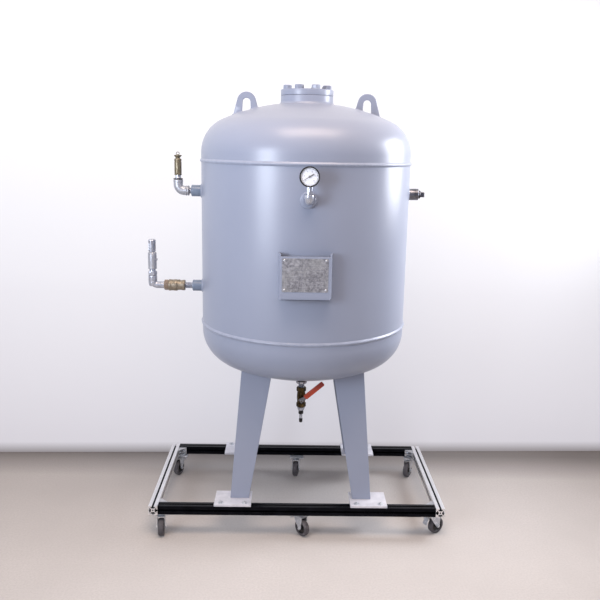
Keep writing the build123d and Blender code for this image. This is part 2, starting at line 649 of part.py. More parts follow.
# Stand the whole on the middle of its footprint
solids = [solid for piece in pieces.values() for solid in piece.solids()]
box = Compound(children=solids).bounding_box()
shift = Pos(-(box.min.X + box.max.X) / 2, -(box.min.Y + box.max.Y) / 2, -box.min.Z)
for name, piece in pieces.items():
    moved = [shift * solid for solid in piece.solids()]
    export_step(Compound(children=moved) if len(moved) > 1 else moved[0], f"parts/{name}.step")
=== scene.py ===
"""Looks of an upright air receiver with its gauge, valves, plate legs and wheeled frame.

Every size is in metres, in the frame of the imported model: +Z up, -Y to the front, the origin on
the floor in the middle of the footprint.
"""
import json
from math import cos, pi, radians, sin, sqrt, tan

import bmesh
import bpy
import numpy as np
from bpy.props import FloatProperty, FloatVectorProperty, IntProperty, PointerProperty
from bpy.types import Operator, Panel, PropertyGroup
from mathutils import Matrix, Vector


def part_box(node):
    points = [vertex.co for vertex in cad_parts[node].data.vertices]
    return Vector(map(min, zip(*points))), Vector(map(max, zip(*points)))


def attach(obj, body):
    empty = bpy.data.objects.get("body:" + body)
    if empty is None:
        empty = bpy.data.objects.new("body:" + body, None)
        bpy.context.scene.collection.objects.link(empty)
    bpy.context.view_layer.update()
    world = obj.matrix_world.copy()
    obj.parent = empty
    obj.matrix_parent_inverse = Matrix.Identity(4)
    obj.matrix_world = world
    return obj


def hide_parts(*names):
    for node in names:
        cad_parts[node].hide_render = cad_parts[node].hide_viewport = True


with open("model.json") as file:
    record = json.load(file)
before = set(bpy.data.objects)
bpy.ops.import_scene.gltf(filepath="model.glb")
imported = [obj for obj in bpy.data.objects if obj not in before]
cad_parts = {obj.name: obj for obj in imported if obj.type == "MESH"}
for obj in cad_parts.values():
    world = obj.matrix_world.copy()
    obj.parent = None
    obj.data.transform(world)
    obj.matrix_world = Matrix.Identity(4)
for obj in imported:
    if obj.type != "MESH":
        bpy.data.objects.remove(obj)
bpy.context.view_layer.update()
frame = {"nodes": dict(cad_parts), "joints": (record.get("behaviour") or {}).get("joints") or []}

bl_info = {
    "name": "Air receiver looks",
    "version": (1, 0, 0),
    "blender": (4, 5, 0),
    "location": "View3D > Sidebar > Receiver",
    "description": "Dresses an upright air receiver on its wheeled frame",
    "category": "Object",
}

RECEIVER = "receiver"
TURN = 2 * pi
UP = Vector((0, 0, 1))
RIGHT = Vector((1, 0, 0))
FRONT = Vector((0, -1, 0))
LEFT = -RIGHT
JOINTS = {joint["name"]: joint for joint in frame["joints"]}
CASTERS = [name[len("swivel_"):] for name in JOINTS if name.startswith("swivel_")]


def centre(node):
    """Middle of a node's box."""
    low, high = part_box(node)
    return (low + high) / 2


def extent(node):
    """Sides of a node's box."""
    low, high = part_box(node)
    return high - low


AXIS = centre("shell")
SHELL_R = extent("shell").x / 2
SEAM_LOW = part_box("shell")[0].z
SEAM_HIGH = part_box("shell")[1].z
PORT_Z = centre("port_plug").z
OUTLET_Z = centre("check_valve").z
COUPLING_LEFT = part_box("couplings")[0].x
COUPLING_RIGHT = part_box("couplings")[1].x
LUG_REACH = 0.2575
COUPLING_R = 0.0248
PIPE_R = 0.0136
SAFETY_GAP = 0.011
LAMP_SPREAD = radians(130)
FILM_WIDTH = 36.0
GRAIN = ("Scale", "Detail", "Roughness")


def on_axis(x, z):
    """Point in the upright plane through the vessel axis that faces the front."""
    return Vector((x, AXIS.y, z))


def linear(code):
    """Linear colour of an sRGB hex code: c/12.92 below 0.04045, else ((c+0.055)/1.055)^2.4."""
    channels = [int(code[i:i + 2], 16) / 255 for i in (1, 3, 5)]
    return (*[c / 12.92 if c <= 0.04045 else ((c + 0.055) / 1.055) ** 2.4 for c in channels], 1.0)


class VesselSizes(PropertyGroup):
    """Sizes of the vessel's skin and welds."""

    wall: FloatProperty(name="Wall", description="Plate thickness", default=0.006, unit="LENGTH")
    skirt: FloatProperty(name="Skirt", description="Straight flange of a head", default=0.043, unit="LENGTH")
    crown: FloatProperty(name="Crown", description="Radius of the dish", default=0.897, unit="LENGTH")
    knuckle: FloatProperty(name="Knuckle", description="Radius of the knuckle", default=0.153, unit="LENGTH")
    bead: FloatProperty(name="Bead", description="Width of a girth weld", default=0.018, unit="LENGTH")
    proud: FloatProperty(name="Proud", description="Height of a girth weld", default=0.005, unit="LENGTH")
    fillet: FloatProperty(name="Fillet", description="Size of a fillet weld", default=0.006, unit="LENGTH")


class BoltSizes(PropertyGroup):
    """Sizes of the bolts and screws."""

    flats: FloatProperty(name="Flats", description="Cover nut across flats", default=0.034, unit="LENGTH")
    head: FloatProperty(name="Head", description="Height of a cover nut", default=0.0175, unit="LENGTH")
    circle: FloatProperty(name="Circle", description="Radius of the bolt circle", default=0.090,
                          unit="LENGTH")
    count: IntProperty(name="Count", description="Bolts in the cover", default=8, min=3)
    foot: FloatProperty(name="Foot", description="Radius of a base plate screw", default=0.0075,
                        unit="LENGTH")
    washer: FloatProperty(name="Washer", description="Radius of its washer", default=0.0125, unit="LENGTH")


class PaintColours(PropertyGroup):
    """Colours of the finishes."""

    paint: FloatVectorProperty(name="Paint", description="Vessel paint", default=linear("#949bac")[:3],
                               subtype="COLOR", size=3, min=0, max=1)
    floor: FloatVectorProperty(name="Floor", description="Studio floor", default=linear("#c3beba")[:3],
                               subtype="COLOR", size=3, min=0, max=1)


class StageSizes(PropertyGroup):
    """Camera and wall, placed from the vessel axis."""

    camera_x: FloatProperty(name="Camera X", description="To the right of the axis", default=-0.0701,
                            unit="LENGTH")
    camera_y: FloatProperty(name="Camera Y", description="Behind the axis", default=-3.170, unit="LENGTH")
    camera_z: FloatProperty(name="Camera Z", description="Height of the lens", default=1.6673, unit="LENGTH")
    yaw: FloatProperty(name="Yaw", description="Turn to the right", default=radians(1.015), unit="ROTATION")
    pitch: FloatProperty(name="Pitch", description="Tilt downwards", default=radians(12.141), unit="ROTATION")
    roll: FloatProperty(name="Roll", description="Tilt of the horizon", default=radians(1.071),
                        unit="ROTATION")
    wall: FloatProperty(name="Wall", description="Wall behind the axis", default=0.562, unit="LENGTH")
    wall_turn: FloatProperty(name="Wall turn", description="Turn of the wall", default=radians(1.8),
                             unit="ROTATION")
    # Strength of the wall's glow, which is painted light.
    wall_glow: FloatProperty(name="Wall light", description="Brightness of the lit wall", default=0.82)
    lens: FloatProperty(name="Lens", description="Focal length for a 36 mm frame, in millimetres",
                        default=43.03)


# Surfaces: each is a grid of points, an array of rows by columns by 3
def unit(vectors):
    """Vectors divided by their lengths."""
    vectors = np.asarray(vectors, float)
    return vectors / np.linalg.norm(vectors, axis=-1, keepdims=True)


def frame_of(along):
    """Two unit vectors square to a direction and to each other."""
    along = unit(along)
    helper = np.array((0.0, 0.0, 1.0)) if abs(along[2]) < 0.9 else np.array((1.0, 0.0, 0.0))
    across = unit(np.cross(helper, along))
    return across, np.cross(along, across)


def hexagon(angles, sides=6):
    """Radius of a regular polygon of unit apothem: one over the cosine of the angle from its nearest flat."""
    share = TURN / sides
    return 1 / np.cos((angles + share / 2) % share - share / 2)


def rounded(corners, radius, steps=4, closed=False):
    """Outline with its corners turned into quadratic curves.

    Each corner P is left at P - t a and joined again at P + t b, with a and b its unit edges and t the
    radius or 0.45 of the shorter edge; between them the curve is (1-s)^2 A + 2 s (1-s) P + s^2 B.
    """
    points = np.asarray(corners, float)
    before = np.roll(points, 1, 0)
    after = np.roll(points, -1, 0)
    reach_in = np.linalg.norm(points - before, axis=1)
    reach_out = np.linalg.norm(after - points, axis=1)
    reach = np.minimum(radius, 0.45 * np.minimum(reach_in, reach_out))[:, None]
    start = points + (before - points) / np.maximum(reach_in, 1e-12)[:, None] * reach
    end = points + (after - points) / np.maximum(reach_out, 1e-12)[:, None] * reach
    s = np.linspace(0, 1, steps)[:, None, None]
    curves = ((1 - s) ** 2 * start + 2 * s * (1 - s) * points + s ** 2 * end).transpose(1, 0, 2)
    if closed:
        return curves.reshape(-1, points.shape[1])
    return np.concatenate([points[:1], curves[1:-1].reshape(-1, points.shape[1]), points[-1:]])


def lathe(profile, start, along, steps=96, shape=None):
    """A profile turned about an axis.

    The point at height h and angle v is start + h a + r (cos v b + sin v c), with a along the axis, b and c
    square to it, and r the profile's radius, or what shape(r, h, v) makes of it.
    """
    profile = np.asarray(profile, float)
    radius = profile[:, :1]
    height = profile[:, 1:2]
    angle = np.linspace(0, TURN, steps, endpoint=False)[None, :]
    reach = radius * np.ones_like(angle) if shape is None else shape(radius, height, angle)
    side, other = frame_of(along)
    out = np.cos(angle)[..., None] * side + np.sin(angle)[..., None] * other
    return np.array(start) + height[..., None] * unit(along) + reach[..., None] * out


def swept(path, across, section, scale=None):
    """A closed section carried along a path.

    With t the path's direction and n the unit vector of (across x t), the point at step i and section
    point (p, q) is path_i + scale_i (p n + q (t x n)).
    """
    path = np.asarray(path, float)
    direction = unit(np.gradient(path, axis=0))
    normal = unit(np.cross(np.broadcast_to(np.asarray(across, float), path.shape), direction))
    other = np.cross(direction, normal)
    size = np.ones(len(path)) if scale is None else np.asarray(scale, float)
    spread = section[None, :, :1] * normal[:, None] + section[None, :, 1:] * other[:, None]
    return path[:, None] + size[:, None, None] * spread


def looped(path, across, section):
    """A closed section carried round a closed path, whose direction runs between each point's neighbours."""
    path = np.asarray(path, float)
    direction = unit(np.roll(path, -1, 0) - np.roll(path, 1, 0))
    normal = unit(np.cross(np.broadcast_to(np.asarray(across, float), path.shape), direction))
    other = np.cross(direction, normal)
    spread = section[None, :, :1] * normal[:, None] + section[None, :, 1:] * other[:, None]
    return path[:, None] + spread


def circle(radius, steps=16):
    """Points of a circle: radius times cosine and sine."""
    angle = np.linspace(0, TURN, steps, endpoint=False)
    return radius * np.stack([np.cos(angle), np.sin(angle)], 1)


def box_section(width, height, radius, steps=4):
    """Rounded rectangle."""
    corners = np.array([(1, 1), (-1, 1), (-1, -1), (1, -1)]) * (width / 2, height / 2)
    return rounded(corners, radius, steps, closed=True)


def capped(grid):
    """A grid with its first and last rows drawn together at their middles, so that both ends are closed."""
    first = np.repeat(grid[:1].mean(1, keepdims=True), grid.shape[1], 1)
    last = np.repeat(grid[-1:].mean(1, keepdims=True), grid.shape[1], 1)
    return np.concatenate([first, grid, last])


def quads(rows, columns, wrap_rows):
    """Corner numbers of the cells of a grid that is closed along its columns, and along its rows if asked."""
    number = np.arange(rows * columns).reshape(rows, columns)
    low = number if wrap_rows else number[:-1]
    high = np.roll(number, -1, 0) if wrap_rows else number[1:]
    return np.stack([low, np.roll(low, -1, 1), np.roll(high, -1, 1), high], -1).reshape(-1, 4)


def piece(name, grids, look, replaces=(), slot=None, wrap=False, sharp=35, body=RECEIVER):
    """Mesh object from grids, with doubled points merged and faces turned outwards, riding on a body."""
    points = []
    faces = []
    count = 0
    for grid in grids:
        rows, columns = grid.shape[:2]
        points.append(grid.reshape(-1, 3))
        faces.append(quads(rows, columns, wrap) + count)
        count += rows * columns
    mesh = bpy.data.meshes.new(name)
    mesh.from_pydata(np.concatenate(points), [], np.concatenate(faces).tolist())
    return placed(name, mesh, look, replaces, slot, sharp, body)


def placed(name, mesh, look, replaces=(), slot=None, sharp=35, body=RECEIVER):
    """Cleans a mesh, shades it, gives it its finish, and hangs it on its body."""
    work = bmesh.new()
    work.from_mesh(mesh)
    bmesh.ops.remove_doubles(work, verts=work.verts, dist=2e-6)
    bmesh.ops.dissolve_degenerate(work, edges=work.edges, dist=1e-7)
    bmesh.ops.recalc_face_normals(work, faces=work.faces)
    work.to_mesh(mesh)
    work.free()
    mesh.shade_smooth()
    mesh.set_sharp_from_angle(angle=radians(sharp))
    mesh.materials.clear()
    mesh.materials.append(finish(look))
    slot = FINISHES[look][0] if slot is None else slot
    made = bpy.data.objects.new(name, mesh)
    bpy.context.scene.collection.objects.link(made)
    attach(made, body)
    if replaces:
        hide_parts(*replaces)
    return made


def dressed(node, look, bevel, body=RECEIVER):
    """Copy of a node with its flat faces joined up and its edges rounded, standing for the node."""
    mesh = frame["nodes"][node].data.copy()
    if mesh.has_custom_normals:
        mesh.attributes.remove(mesh.attributes["custom_normal"])
    work = bmesh.new()
    work.from_mesh(mesh)
    bmesh.ops.remove_doubles(work, verts=work.verts, dist=2e-6)
    bmesh.ops.dissolve_limit(work, angle_limit=radians(0.5), verts=work.verts, edges=work.edges)
    work.to_mesh(mesh)
    work.free()
    made = placed(f"{node}_skin", mesh, look, (node,), body=body)
    rounding = made.modifiers.new("Edges", "BEVEL")
    rounding.width = bevel
    rounding.segments = 2
    rounding.limit_method = "ANGLE"
    rounding.angle_limit = radians(30)
    rounding.harden_normals = True
    return made


# Materials
def feed(tree, node, inputs):
    """Sets or links a node's inputs, given by name or number."""
    for key, value in inputs.items():
        if isinstance(value, bpy.types.NodeSocket):
            tree.links.new(value, node.inputs[key])
        else:
            node.inputs[key].default_value = value


def add(tree, kind, inputs=None, **settings):
    """Adds a node, applies its settings, and sets or links its inputs."""
    made = tree.nodes.new(kind)
    for key, value in settings.items():
        setattr(made, key, value)
    feed(tree, made, inputs or {})
    return made


def shader(name, inputs):
    """New material with its principled shader, whose constant values are set on the shader itself."""
    material = bpy.data.materials.new(name)
    material.use_nodes = True
    tree = material.node_tree
    surface = tree.nodes["Principled BSDF"]
    feed(tree, surface, inputs)
    return material, tree, surface


def place(tree, scale=(1, 1, 1)):
    """Object coordinates, stretched."""
    where = add(tree, "ShaderNodeTexCoord").outputs["Object"]
    return add(tree, "ShaderNodeMapping", {"Vector": where, "Scale": scale}).outputs["Vector"]


def graded(tree, value, span, first, second, most=1.0):
    """Colour that goes from the first to the second, or most of the way, as a value rises through a span."""
    share = add(tree, "ShaderNodeMapRange", {"Value": value, "From Min": span[0], "From Max": span[1],
                                             "To Max": most})
    return add(tree, "ShaderNodeMix", {0: share.outputs["Result"], 6: first, 7: second},
               data_type="RGBA").outputs[2]


def mottled(tree, where, grain, span, first, second, most=1.0):
    """Colour graded by noise, whose grain gives its waves per metre, detail and roughness."""
    noise = add(tree, "ShaderNodeTexNoise", {"Vector": where, **dict(zip(GRAIN, grain))})
    return graded(tree, noise.outputs["Fac"], span, first, second, most)


def varied(tree, where, grain, span, to_span):
    """Value that follows noise from one span to another, held at its ends."""
    noise = add(tree, "ShaderNodeTexNoise", {"Vector": where, **dict(zip(GRAIN, grain))})
    ranged = add(tree, "ShaderNodeMapRange", {"Value": noise.outputs["Fac"], "From Min": span[0],
                                              "From Max": span[1], "To Min": to_span[0],
                                              "To Max": to_span[1]})
    return ranged.outputs["Result"]


def embossed(tree, where, grain, depth, strength, under=None):
    """Normal of noise as relief of a depth in metres, over the normal of another relief if one is given."""
    noise = add(tree, "ShaderNodeTexNoise", {"Vector": where, **dict(zip(GRAIN, grain))})
    inputs = {"Height": noise.outputs["Fac"], "Distance": depth, "Strength": strength}
    if under is not None:
        inputs["Normal"] = under
    return add(tree, "ShaderNodeBump", inputs).outputs["Normal"]


def from_middle(tree, value, middle):
    """Distance of a value from a middle one: their difference without its sign."""
    apart = add(tree, "ShaderNodeMath", {0: value, 1: middle}, operation="SUBTRACT")
    return add(tree, "ShaderNodeMath", {0: apart.outputs[0]}, operation="ABSOLUTE").outputs[0]


def height_of(tree, kind="Object"):
    """Height in a kind of coordinates: the Z of the texture coordinates."""
    where = add(tree, "ShaderNodeTexCoord").outputs[kind]
    return add(tree, "ShaderNodeSeparateXYZ", {"Vector": where}).outputs["Z"]


def vessel_paint():
    """Two-pack enamel, sprayed over blasted steel: satin, with broad patches a little darker and greyer.

    Its orange peel, about 3 mm across, lies over slow waves that rolling leaves in the plate.
    """
    base = (*bpy.context.scene.receiver_colours.paint, 1.0)
    darker = tuple(c * share for c, share in zip(base, (0.86, 0.86, 0.87, 1.0)))
    material, tree, surface = shader("satin_enamel", {"Base Color": base, "IOR": 1.5})
    where = place(tree)
    waves = embossed(tree, where, (5.0, 0.0, 0.5), 0.0016, 0.5)
    feed(tree, surface, {
        "Base Color": mottled(tree, where, (2.6, 4.0, 0.55), (0.0, 1.0), base, darker),
        "Roughness": varied(tree, where, (3.0, 2.0, 0.5), (0.0, 1.0), (0.27, 0.37)),
        "Normal": embossed(tree, where, (330.0, 1.0, 0.5), 0.00003, 0.6, waves),
    })
    return material


def weld_paint():
    """The same enamel over a weld: a little uneven, with the ripples of the run showing through."""
    base = (*bpy.context.scene.receiver_colours.paint, 1.0)
    material, tree, surface = shader("enamel_over_weld", {"Roughness": 0.34, "IOR": 1.5})
    where = place(tree)
    feed(tree, surface, {
        "Base Color": mottled(tree, where, (40.0, 3.0, 0.5), (0.35, 0.7), base, tuple(c * 0.9 for c in base)),
        "Normal": embossed(tree, where, (160.0, 4.0, 0.5), 0.0006, 0.6),
    })
    return material


def metal(name, light, dark, roughness, grain, stretch=(1, 1, 1), relief=0.00004, stain=25.0, bare=1.0):
    """Bare or plated metal: two tones in patches of dirt or oxide, a grain that spreads highlights.

    The real grain is finer than these 1 to 3 mm, which is as coarse as it needs to be to show.
    """
    material, tree, surface = shader(name, {"Metallic": bare})
    where = place(tree)
    drawn = place(tree, stretch)
    lines = (grain, 3.0, 0.6)
    feed(tree, surface, {
        "Base Color": mottled(tree, where, (stain, 4.0, 0.6), (0.3, 0.72), linear(light), linear(dark)),
        "Roughness": varied(tree, drawn, lines, (0.3, 0.7), (roughness * 0.75, roughness * 1.35)),
        "Normal": embossed(tree, drawn, lines, relief, 0.7),
    })
    return material


def moulded(name, light, dark, roughness, relief=0.00008, grain=900.0):
    """Moulded or dipped plastic and rubber: fine matt grain, slightly lighter where it is scuffed.

    The real grain is finer than this 1 mm, which is as coarse as it needs to be to show.
    """
    material, tree, surface = shader(name, {"Roughness": roughness, "IOR": 1.5})
    where = place(tree)
    feed(tree, surface, {
        "Base Color": mottled(tree, where, (60.0, 5.0, 0.65), (0.5, 0.75), linear(dark), linear(light)),
        "Normal": embossed(tree, where, (grain, 2.0, 0.5), relief, 0.6),
    })
    return material


def window_glass():
    """Flat float glass of the gauge window: nearly clear, seen only by its gloss."""
    inputs = {"Base Color": linear("#f4f8fa"), "Roughness": 0.04, "IOR": 1.5, "Alpha": 0.10}
    return shader("gauge_window", inputs)[0]


def rail_metal():
    """Clear anodised aluminium, drawn along Y: bright, with soft lines, and with painted shade darkening it
    inside the slots.

    A point is inside a slot where the larger of its distances from the rail's middle, across and
    upwards, falls short of half the rail, away from the cut ends.
    """
    material = metal("clear_anodised", "#f2f2f3", "#e4e4e6", 0.32, 1.0, (900, 8, 900), 0.00003)
    tree = material.node_tree
    surface = tree.nodes["Principled BSDF"]
    low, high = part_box("side_rails")
    middle = (low + high) / 2
    half = (high.z - low.z) / 2
    split = add(tree, "ShaderNodeSeparateXYZ", {"Vector": place(tree)}).outputs
    across = from_middle(tree, from_middle(tree, split["X"], middle.x), (high.x - low.x) / 2 - half)
    upward = from_middle(tree, split["Z"], middle.z)
    larger = add(tree, "ShaderNodeMath", {0: across, 1: upward}, operation="MAXIMUM").outputs[0]
    along = from_middle(tree, split["Y"], middle.y)
    shares = [
        add(tree, "ShaderNodeMapRange", {"Value": value, "From Min": edge - 0.0030, "From Max": edge - near,
                                         "To Min": 1.0, "To Max": 0.0}).outputs["Result"]
        for value, edge, near in ((along, (high.y - low.y) / 2, 0.0010), (larger, half, 0.0008))
    ]
    inside = add(tree, "ShaderNodeMath", {0: shares[0], 1: shares[1]}, operation="MULTIPLY").outputs[0]
    unshaded_metal = surface.inputs["Base Color"].links[0].from_socket
    # Painted shade: the metal turns dark grey inside the slots.
    feed(tree, surface, {"Base Color": graded(tree, inside, (0.0, 1.0), unshaded_metal, linear("#2f3036"))})
    return material


def sleeve_vinyl():
    """Dipped vinyl, orange-red, with painted shade darkening it to dark red towards its upper end, which sits
    in the vessel's shade.
    """
    material = moulded("dipped_vinyl", "#e4613a", "#cf4a2b", 0.36, 0.00006)
    tree = material.node_tree
    surface = tree.nodes["Principled BSDF"]
    low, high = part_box("lever_sleeve")
    span = (low.z + 0.25 * (high.z - low.z), high.z)
    plain_vinyl = surface.inputs["Base Color"].links[0].from_socket
    # Painted shade: the colour grades from the plain vinyl to dark red towards the sleeve's upper end.
    feed(tree, surface, {"Base Color": graded(tree, height_of(tree), span, plain_vinyl, linear("#8a2c2a"), 0.9)})
    return material


def plate_metal():
    """Etched steel plate: fine grey mottling, rougher where it is pale, under broad dull patches."""
    material, tree, surface = shader("etched_plate", {"Metallic": 0.55})
    where = place(tree)
    fine = (95.0, 6.0, 0.7)
    stained = mottled(tree, where, fine, (0.36, 0.64), linear("#7b7b80"), linear("#b2b2b6"))
    feed(tree, surface, {
        "Base Color": mottled(tree, where, (16.0, 3.0, 0.6), (0.42, 0.72), stained, linear("#a6a7a6"), 0.6),
        "Roughness": varied(tree, where, fine, (0.36, 0.64), (0.34, 0.55)),
        "Normal": embossed(tree, where, (420.0, 3.0, 0.5), 0.00005, 0.6),
    })
    return material


def studio_floor():
    """Ground concrete floor, grey, with painted shade darkening it towards the foot of the wall."""
    base = (*bpy.context.scene.receiver_colours.floor, 1.0)
    material, tree, surface = shader("ground_concrete", {"Roughness": 0.75})
    where = place(tree)
    patched = mottled(tree, where, (2.2, 5.0, 0.6), (0.3, 0.7), base, tuple(c * 0.90 for c in base))
    gritty = mottled(tree, where, (120.0, 2.0, 0.5), (0.35, 0.75), patched, tuple(c * 0.86 for c in base))
    depth = add(tree, "ShaderNodeSeparateXYZ", {"Vector": where}).outputs["Y"]
    wall = bpy.context.scene.receiver_stage.wall + AXIS.y
    # Painted shade: the floor darkens in two steps as it nears the wall.
    wall_shaded = graded(tree, depth, (wall - 1.10, wall - 0.10), gritty, linear("#4a4442"), 0.34)
    feed(tree, surface, {
        "Base Color": graded(tree, depth, (wall - 0.32, wall - 0.04), wall_shaded, linear("#332e2d"), 0.62),
        "Normal": embossed(tree, where, (45.0, 3.0, 0.5), 0.0004, 0.3),
    })
    return material


def studio_wall():
    """White wall that glows with painted light, brightest high up, greyer towards its foot with painted
    shade, and clear from behind.
    """
    material, tree, surface = shader("glowing_wall_painted_light", {
        "Base Color": linear("#898989"), "Roughness": 0.9,
        "Emission Strength": bpy.context.scene.receiver_stage.wall_glow,
    })
    colour = linear("#6f696b")
    # Painted light and shade: the glow rises from dark grey at the wall's foot to near white above.
    for span, code in (((0.0, 0.06), "#ccc9d1"), ((0.1, 1.0), "#dedde4"), ((0.9, 1.9), "#f2f2f6")):
        colour = graded(tree, height_of(tree), span, colour, linear(code))
    feed(tree, surface, {"Emission Color": colour})
    behind = add(tree, "ShaderNodeNewGeometry").outputs["Backfacing"]
    clear = add(tree, "ShaderNodeBsdfTransparent").outputs["BSDF"]
    both = add(tree, "ShaderNodeMixShader", {0: behind, 1: surface.outputs["BSDF"], 2: clear})
    feed(tree, tree.nodes["Material Output"], {"Surface": both.outputs["Shader"]})
    return material


# Each finish with the material slot meant for its pieces, unless a piece names another, and the maker of its
# material
FINISHES = {
    "enamel": ("vessel_paint", vessel_paint),
    "weld": ("vessel_paint", weld_paint),
    # Black anodised aluminium, drawn along X, which leaves fine lines along the rail
    "black_rail": ("rail_black", lambda: metal(
        "black_anodised", "#1b1c22", "#0e0f12", 0.26, 1.0, (8, 900, 900), 0.00003)),
    "bright_rail": ("rail_silver", rail_metal),
    # Mill-finish aluminium plate: pale and soft, with rolling marks
    "foot_plate": ("zinc", lambda: metal(
        "rolled_aluminium", "#dedee4", "#c4c5cc", 0.40, 1.0, (30, 600, 600), 0.00003, bare=0.35)),
    # Die-cast zinc alloy of the brackets: bright, with a coarse cast skin
    "cast": ("cast_silver", lambda: metal("die_casting", "#d3d4d6", "#aeb0b4", 0.38, 500.0, relief=0.0001)),
    # Zinc plate on pressed steel: cool and slightly cloudy
    "zinc": ("zinc", lambda: metal("zinc_plate", "#dcdfe3", "#a9adb4", 0.30, 700.0, stain=45.0, bare=0.7)),
    # Forged steel left bare: neutral grey, dark in its pores
    "forged": ("zinc", lambda: metal(
        "forged_steel", "#8c8d94", "#4b4c52", 0.33, 500.0, (1, 6, 6), 0.00008, 60.0)),
    # Near-black steel of the bush and the spare port's collar: painted shade in the dark gaps between the
    # fittings.
    "shade_black_steel": ("zinc", lambda: metal(
        "dark_steel_painted_shade", "#5f5e62", "#2c2b2e", 0.30, 500.0, relief=0.00006)),
    # Nickel plate on the fittings: bright and a little blue
    "nickel": ("stainless", lambda: metal(
        "nickel_plate", "#c9ccd4", "#a0a4ae", 0.22, 400.0, stain=40.0, bare=0.62)),
    # Cast stainless of the safety elbow: soft and pale, with a fine cast skin
    "cast_steel": ("stainless", lambda: metal(
        "cast_stainless", "#b7b9be", "#a3a6ac", 0.40, 300.0, relief=0.00006, stain=50.0, bare=0.55)),
    # Cast brass gone dull: grey-brown, darker in the pores
    "brass": ("brass", lambda: metal(
        "cast_brass", "#9b907e", "#7f7464", 0.40, 450.0, relief=0.00012, stain=80.0, bare=0.6)),
    # The same gone olive with age, on the safety valve
    "dull_brass": ("brass", lambda: metal(
        "aged_brass", "#8b826d", "#6a604c", 0.36, 450.0, relief=0.00010, stain=90.0, bare=0.6)),
    # Wet and dirty brass of the drain valve: brown, nearly black in its pores
    "drain_brass": ("brass", lambda: metal(
        "stained_brass", "#6b5a3c", "#15110c", 0.34, 300.0, relief=0.00014, stain=65.0)),
    # Machined brass of the nut: cleaner and a little warmer
    "bright_brass": ("brass", lambda: metal(
        "machined_brass", "#a3907f", "#7a6858", 0.30, 800.0, stain=70.0, bare=0.6)),
    # Grey tread rubber with dust in its grain
    "tyre": ("tyre", lambda: moulded("tread_rubber", "#6d6a6c", "#4b484b", 0.75, 0.0002, 500.0)),
    # Black nylon of the wheel centres, the gauge case and the joints, and the black of the painted-shade band
    # on the drain coupling
    "black": ("", lambda: moulded("black_nylon", "#1d1d21", "#08080a", 0.40)),
    # The vessel's enamel on the couplings, darker and bluer than the shell's: painted shade.
    "coupling_shaded_paint": ("vessel_paint", lambda: moulded(
        "enamel_painted_shade", "#7d8999", "#717d8e", 0.26, 0.00004, 120.0)),
    "sleeve": ("red_plastic", sleeve_vinyl),
    # White enamel of the printed dial: even and matt
    "dial": ("dial_white", lambda: moulded("dial_enamel", "#fbfcff", "#f6f8fe", 0.5, 0.00001)),
    # Printing ink of the marks: matt and nearly black
    "ink": ("", lambda: moulded("printed_ink", "#2b2c30", "#17181b", 0.5, 0.00001)),
    # Worn filling of the plate's ruled lines
    "etch": ("", lambda: moulded("line_filling", "#84838c", "#6b6a74", 0.6, 0.00001)),
    "window": ("glass", window_glass),
    "etched": ("stainless", plate_metal),
    "floor": ("", studio_floor),
    "wall": ("", studio_wall),
}
MADE = {}


def finish(name):
    """The named finish, made once."""
    if name not in MADE:
        MADE[name] = FINISHES[name][1]()
    return MADE[name]


# Vessel
def head_outline(sizes, offset=0.0, steps=28):
    """Half outline of a dished head as two tangent arcs, from the flange to the axis, (radius, height)."""
    across = SHELL_R - sizes.knuckle
    drop = sqrt((sizes.crown - sizes.knuckle) ** 2 - across ** 2)
    lean = np.arctan2(drop, across)
    first = np.linspace(0, lean, steps)
    second = np.linspace(lean, pi / 2, steps)[1:]
    knuckle = np.stack([across + (sizes.knuckle + offset) * np.cos(first),
                        sizes.skirt + (sizes.knuckle + offset) * np.sin(first)], 1)
    crown = np.stack([(sizes.crown + offset) * np.cos(second),
                      sizes.skirt - drop + (sizes.crown + offset) * np.sin(second)], 1)
    return np.concatenate([knuckle, crown])


def head_height(sizes, radius):
    """Height of the head's outside over its rim at a distance from the axis, read off the outline."""
    outline = head_outline(sizes, steps=200)[::-1]
    return np.interp(radius, outline[:, 0], outline[:, 1])


def head_skin(sizes):
    """Closed outline of a head's wall: outside, inside and rim."""
    outside = head_outline(sizes)
    inside = head_outline(sizes, -sizes.wall)[::-1]
    rim = [(SHELL_R - sizes.wall, 0), (SHELL_R, 0)]
    outline = np.concatenate([inside, rim, outside])
    outline[0, 0] = 0
    outline[-1, 0] = 0
    return outline


def bead_ring(sizes, height):
    """Girth weld round the shell.

    Its radius is the shell's plus proud times cos^1.3 of the way across, times the ripple of the run,
    which is 1 + 0.05 sin 190v + 0.06 sin 37v at the angle v.
    """
    way = np.linspace(-1, 1, 15)
    profile = np.stack([np.full_like(way, SHELL_R), way * sizes.bead / 2], 1)
    profile = np.concatenate([profile, [(SHELL_R - sizes.wall / 2, 0)]])
    swell = np.append(np.cos(way * pi / 2) ** 1.3, 0)[:, None]

    def shape(radius, _, angle):
        ripple = 1 + 0.05 * np.sin(angle * 190) + 0.06 * np.sin(angle * 37)
        return radius + sizes.proud * swell * ripple

    return lathe(profile, on_axis(AXIS.x, height), UP, 720, shape)


def saddle(sizes, origin, along, radius, surface_radius):
    """Fillet weld where a round piece leaves the shell: a circle about the piece, laid on the shell.

    At angle v the point is radius (cos v across + sin v up) out from the piece's axis, and along it as far
    as the shell of the given radius reaches. The bead's own radius is the fillet times 1 + 0.03 sin 26v.
    """
    angle = np.linspace(0, TURN, 96, endpoint=False)
    along = np.array(along)
    across = np.cross((0, 0, 1), along)
    ripple = 1 + 0.03 * np.sin(angle * 26)
    out = radius * (np.cos(angle)[:, None] * across + np.sin(angle)[:, None] * np.array((0, 0, 1)))
    side = (out @ across) + (np.array(origin) - np.array(AXIS)) @ across
    depth = np.sqrt(surface_radius ** 2 - side ** 2)
    base = np.array(origin) + along * ((np.array(AXIS) - np.array(origin)) @ along)
    path = base + out + depth[:, None] * along
    grid = looped(path, along, circle(sizes.fillet, 10))
    return path[:, None] + (grid - path[:, None]) * ripple[:, None, None]


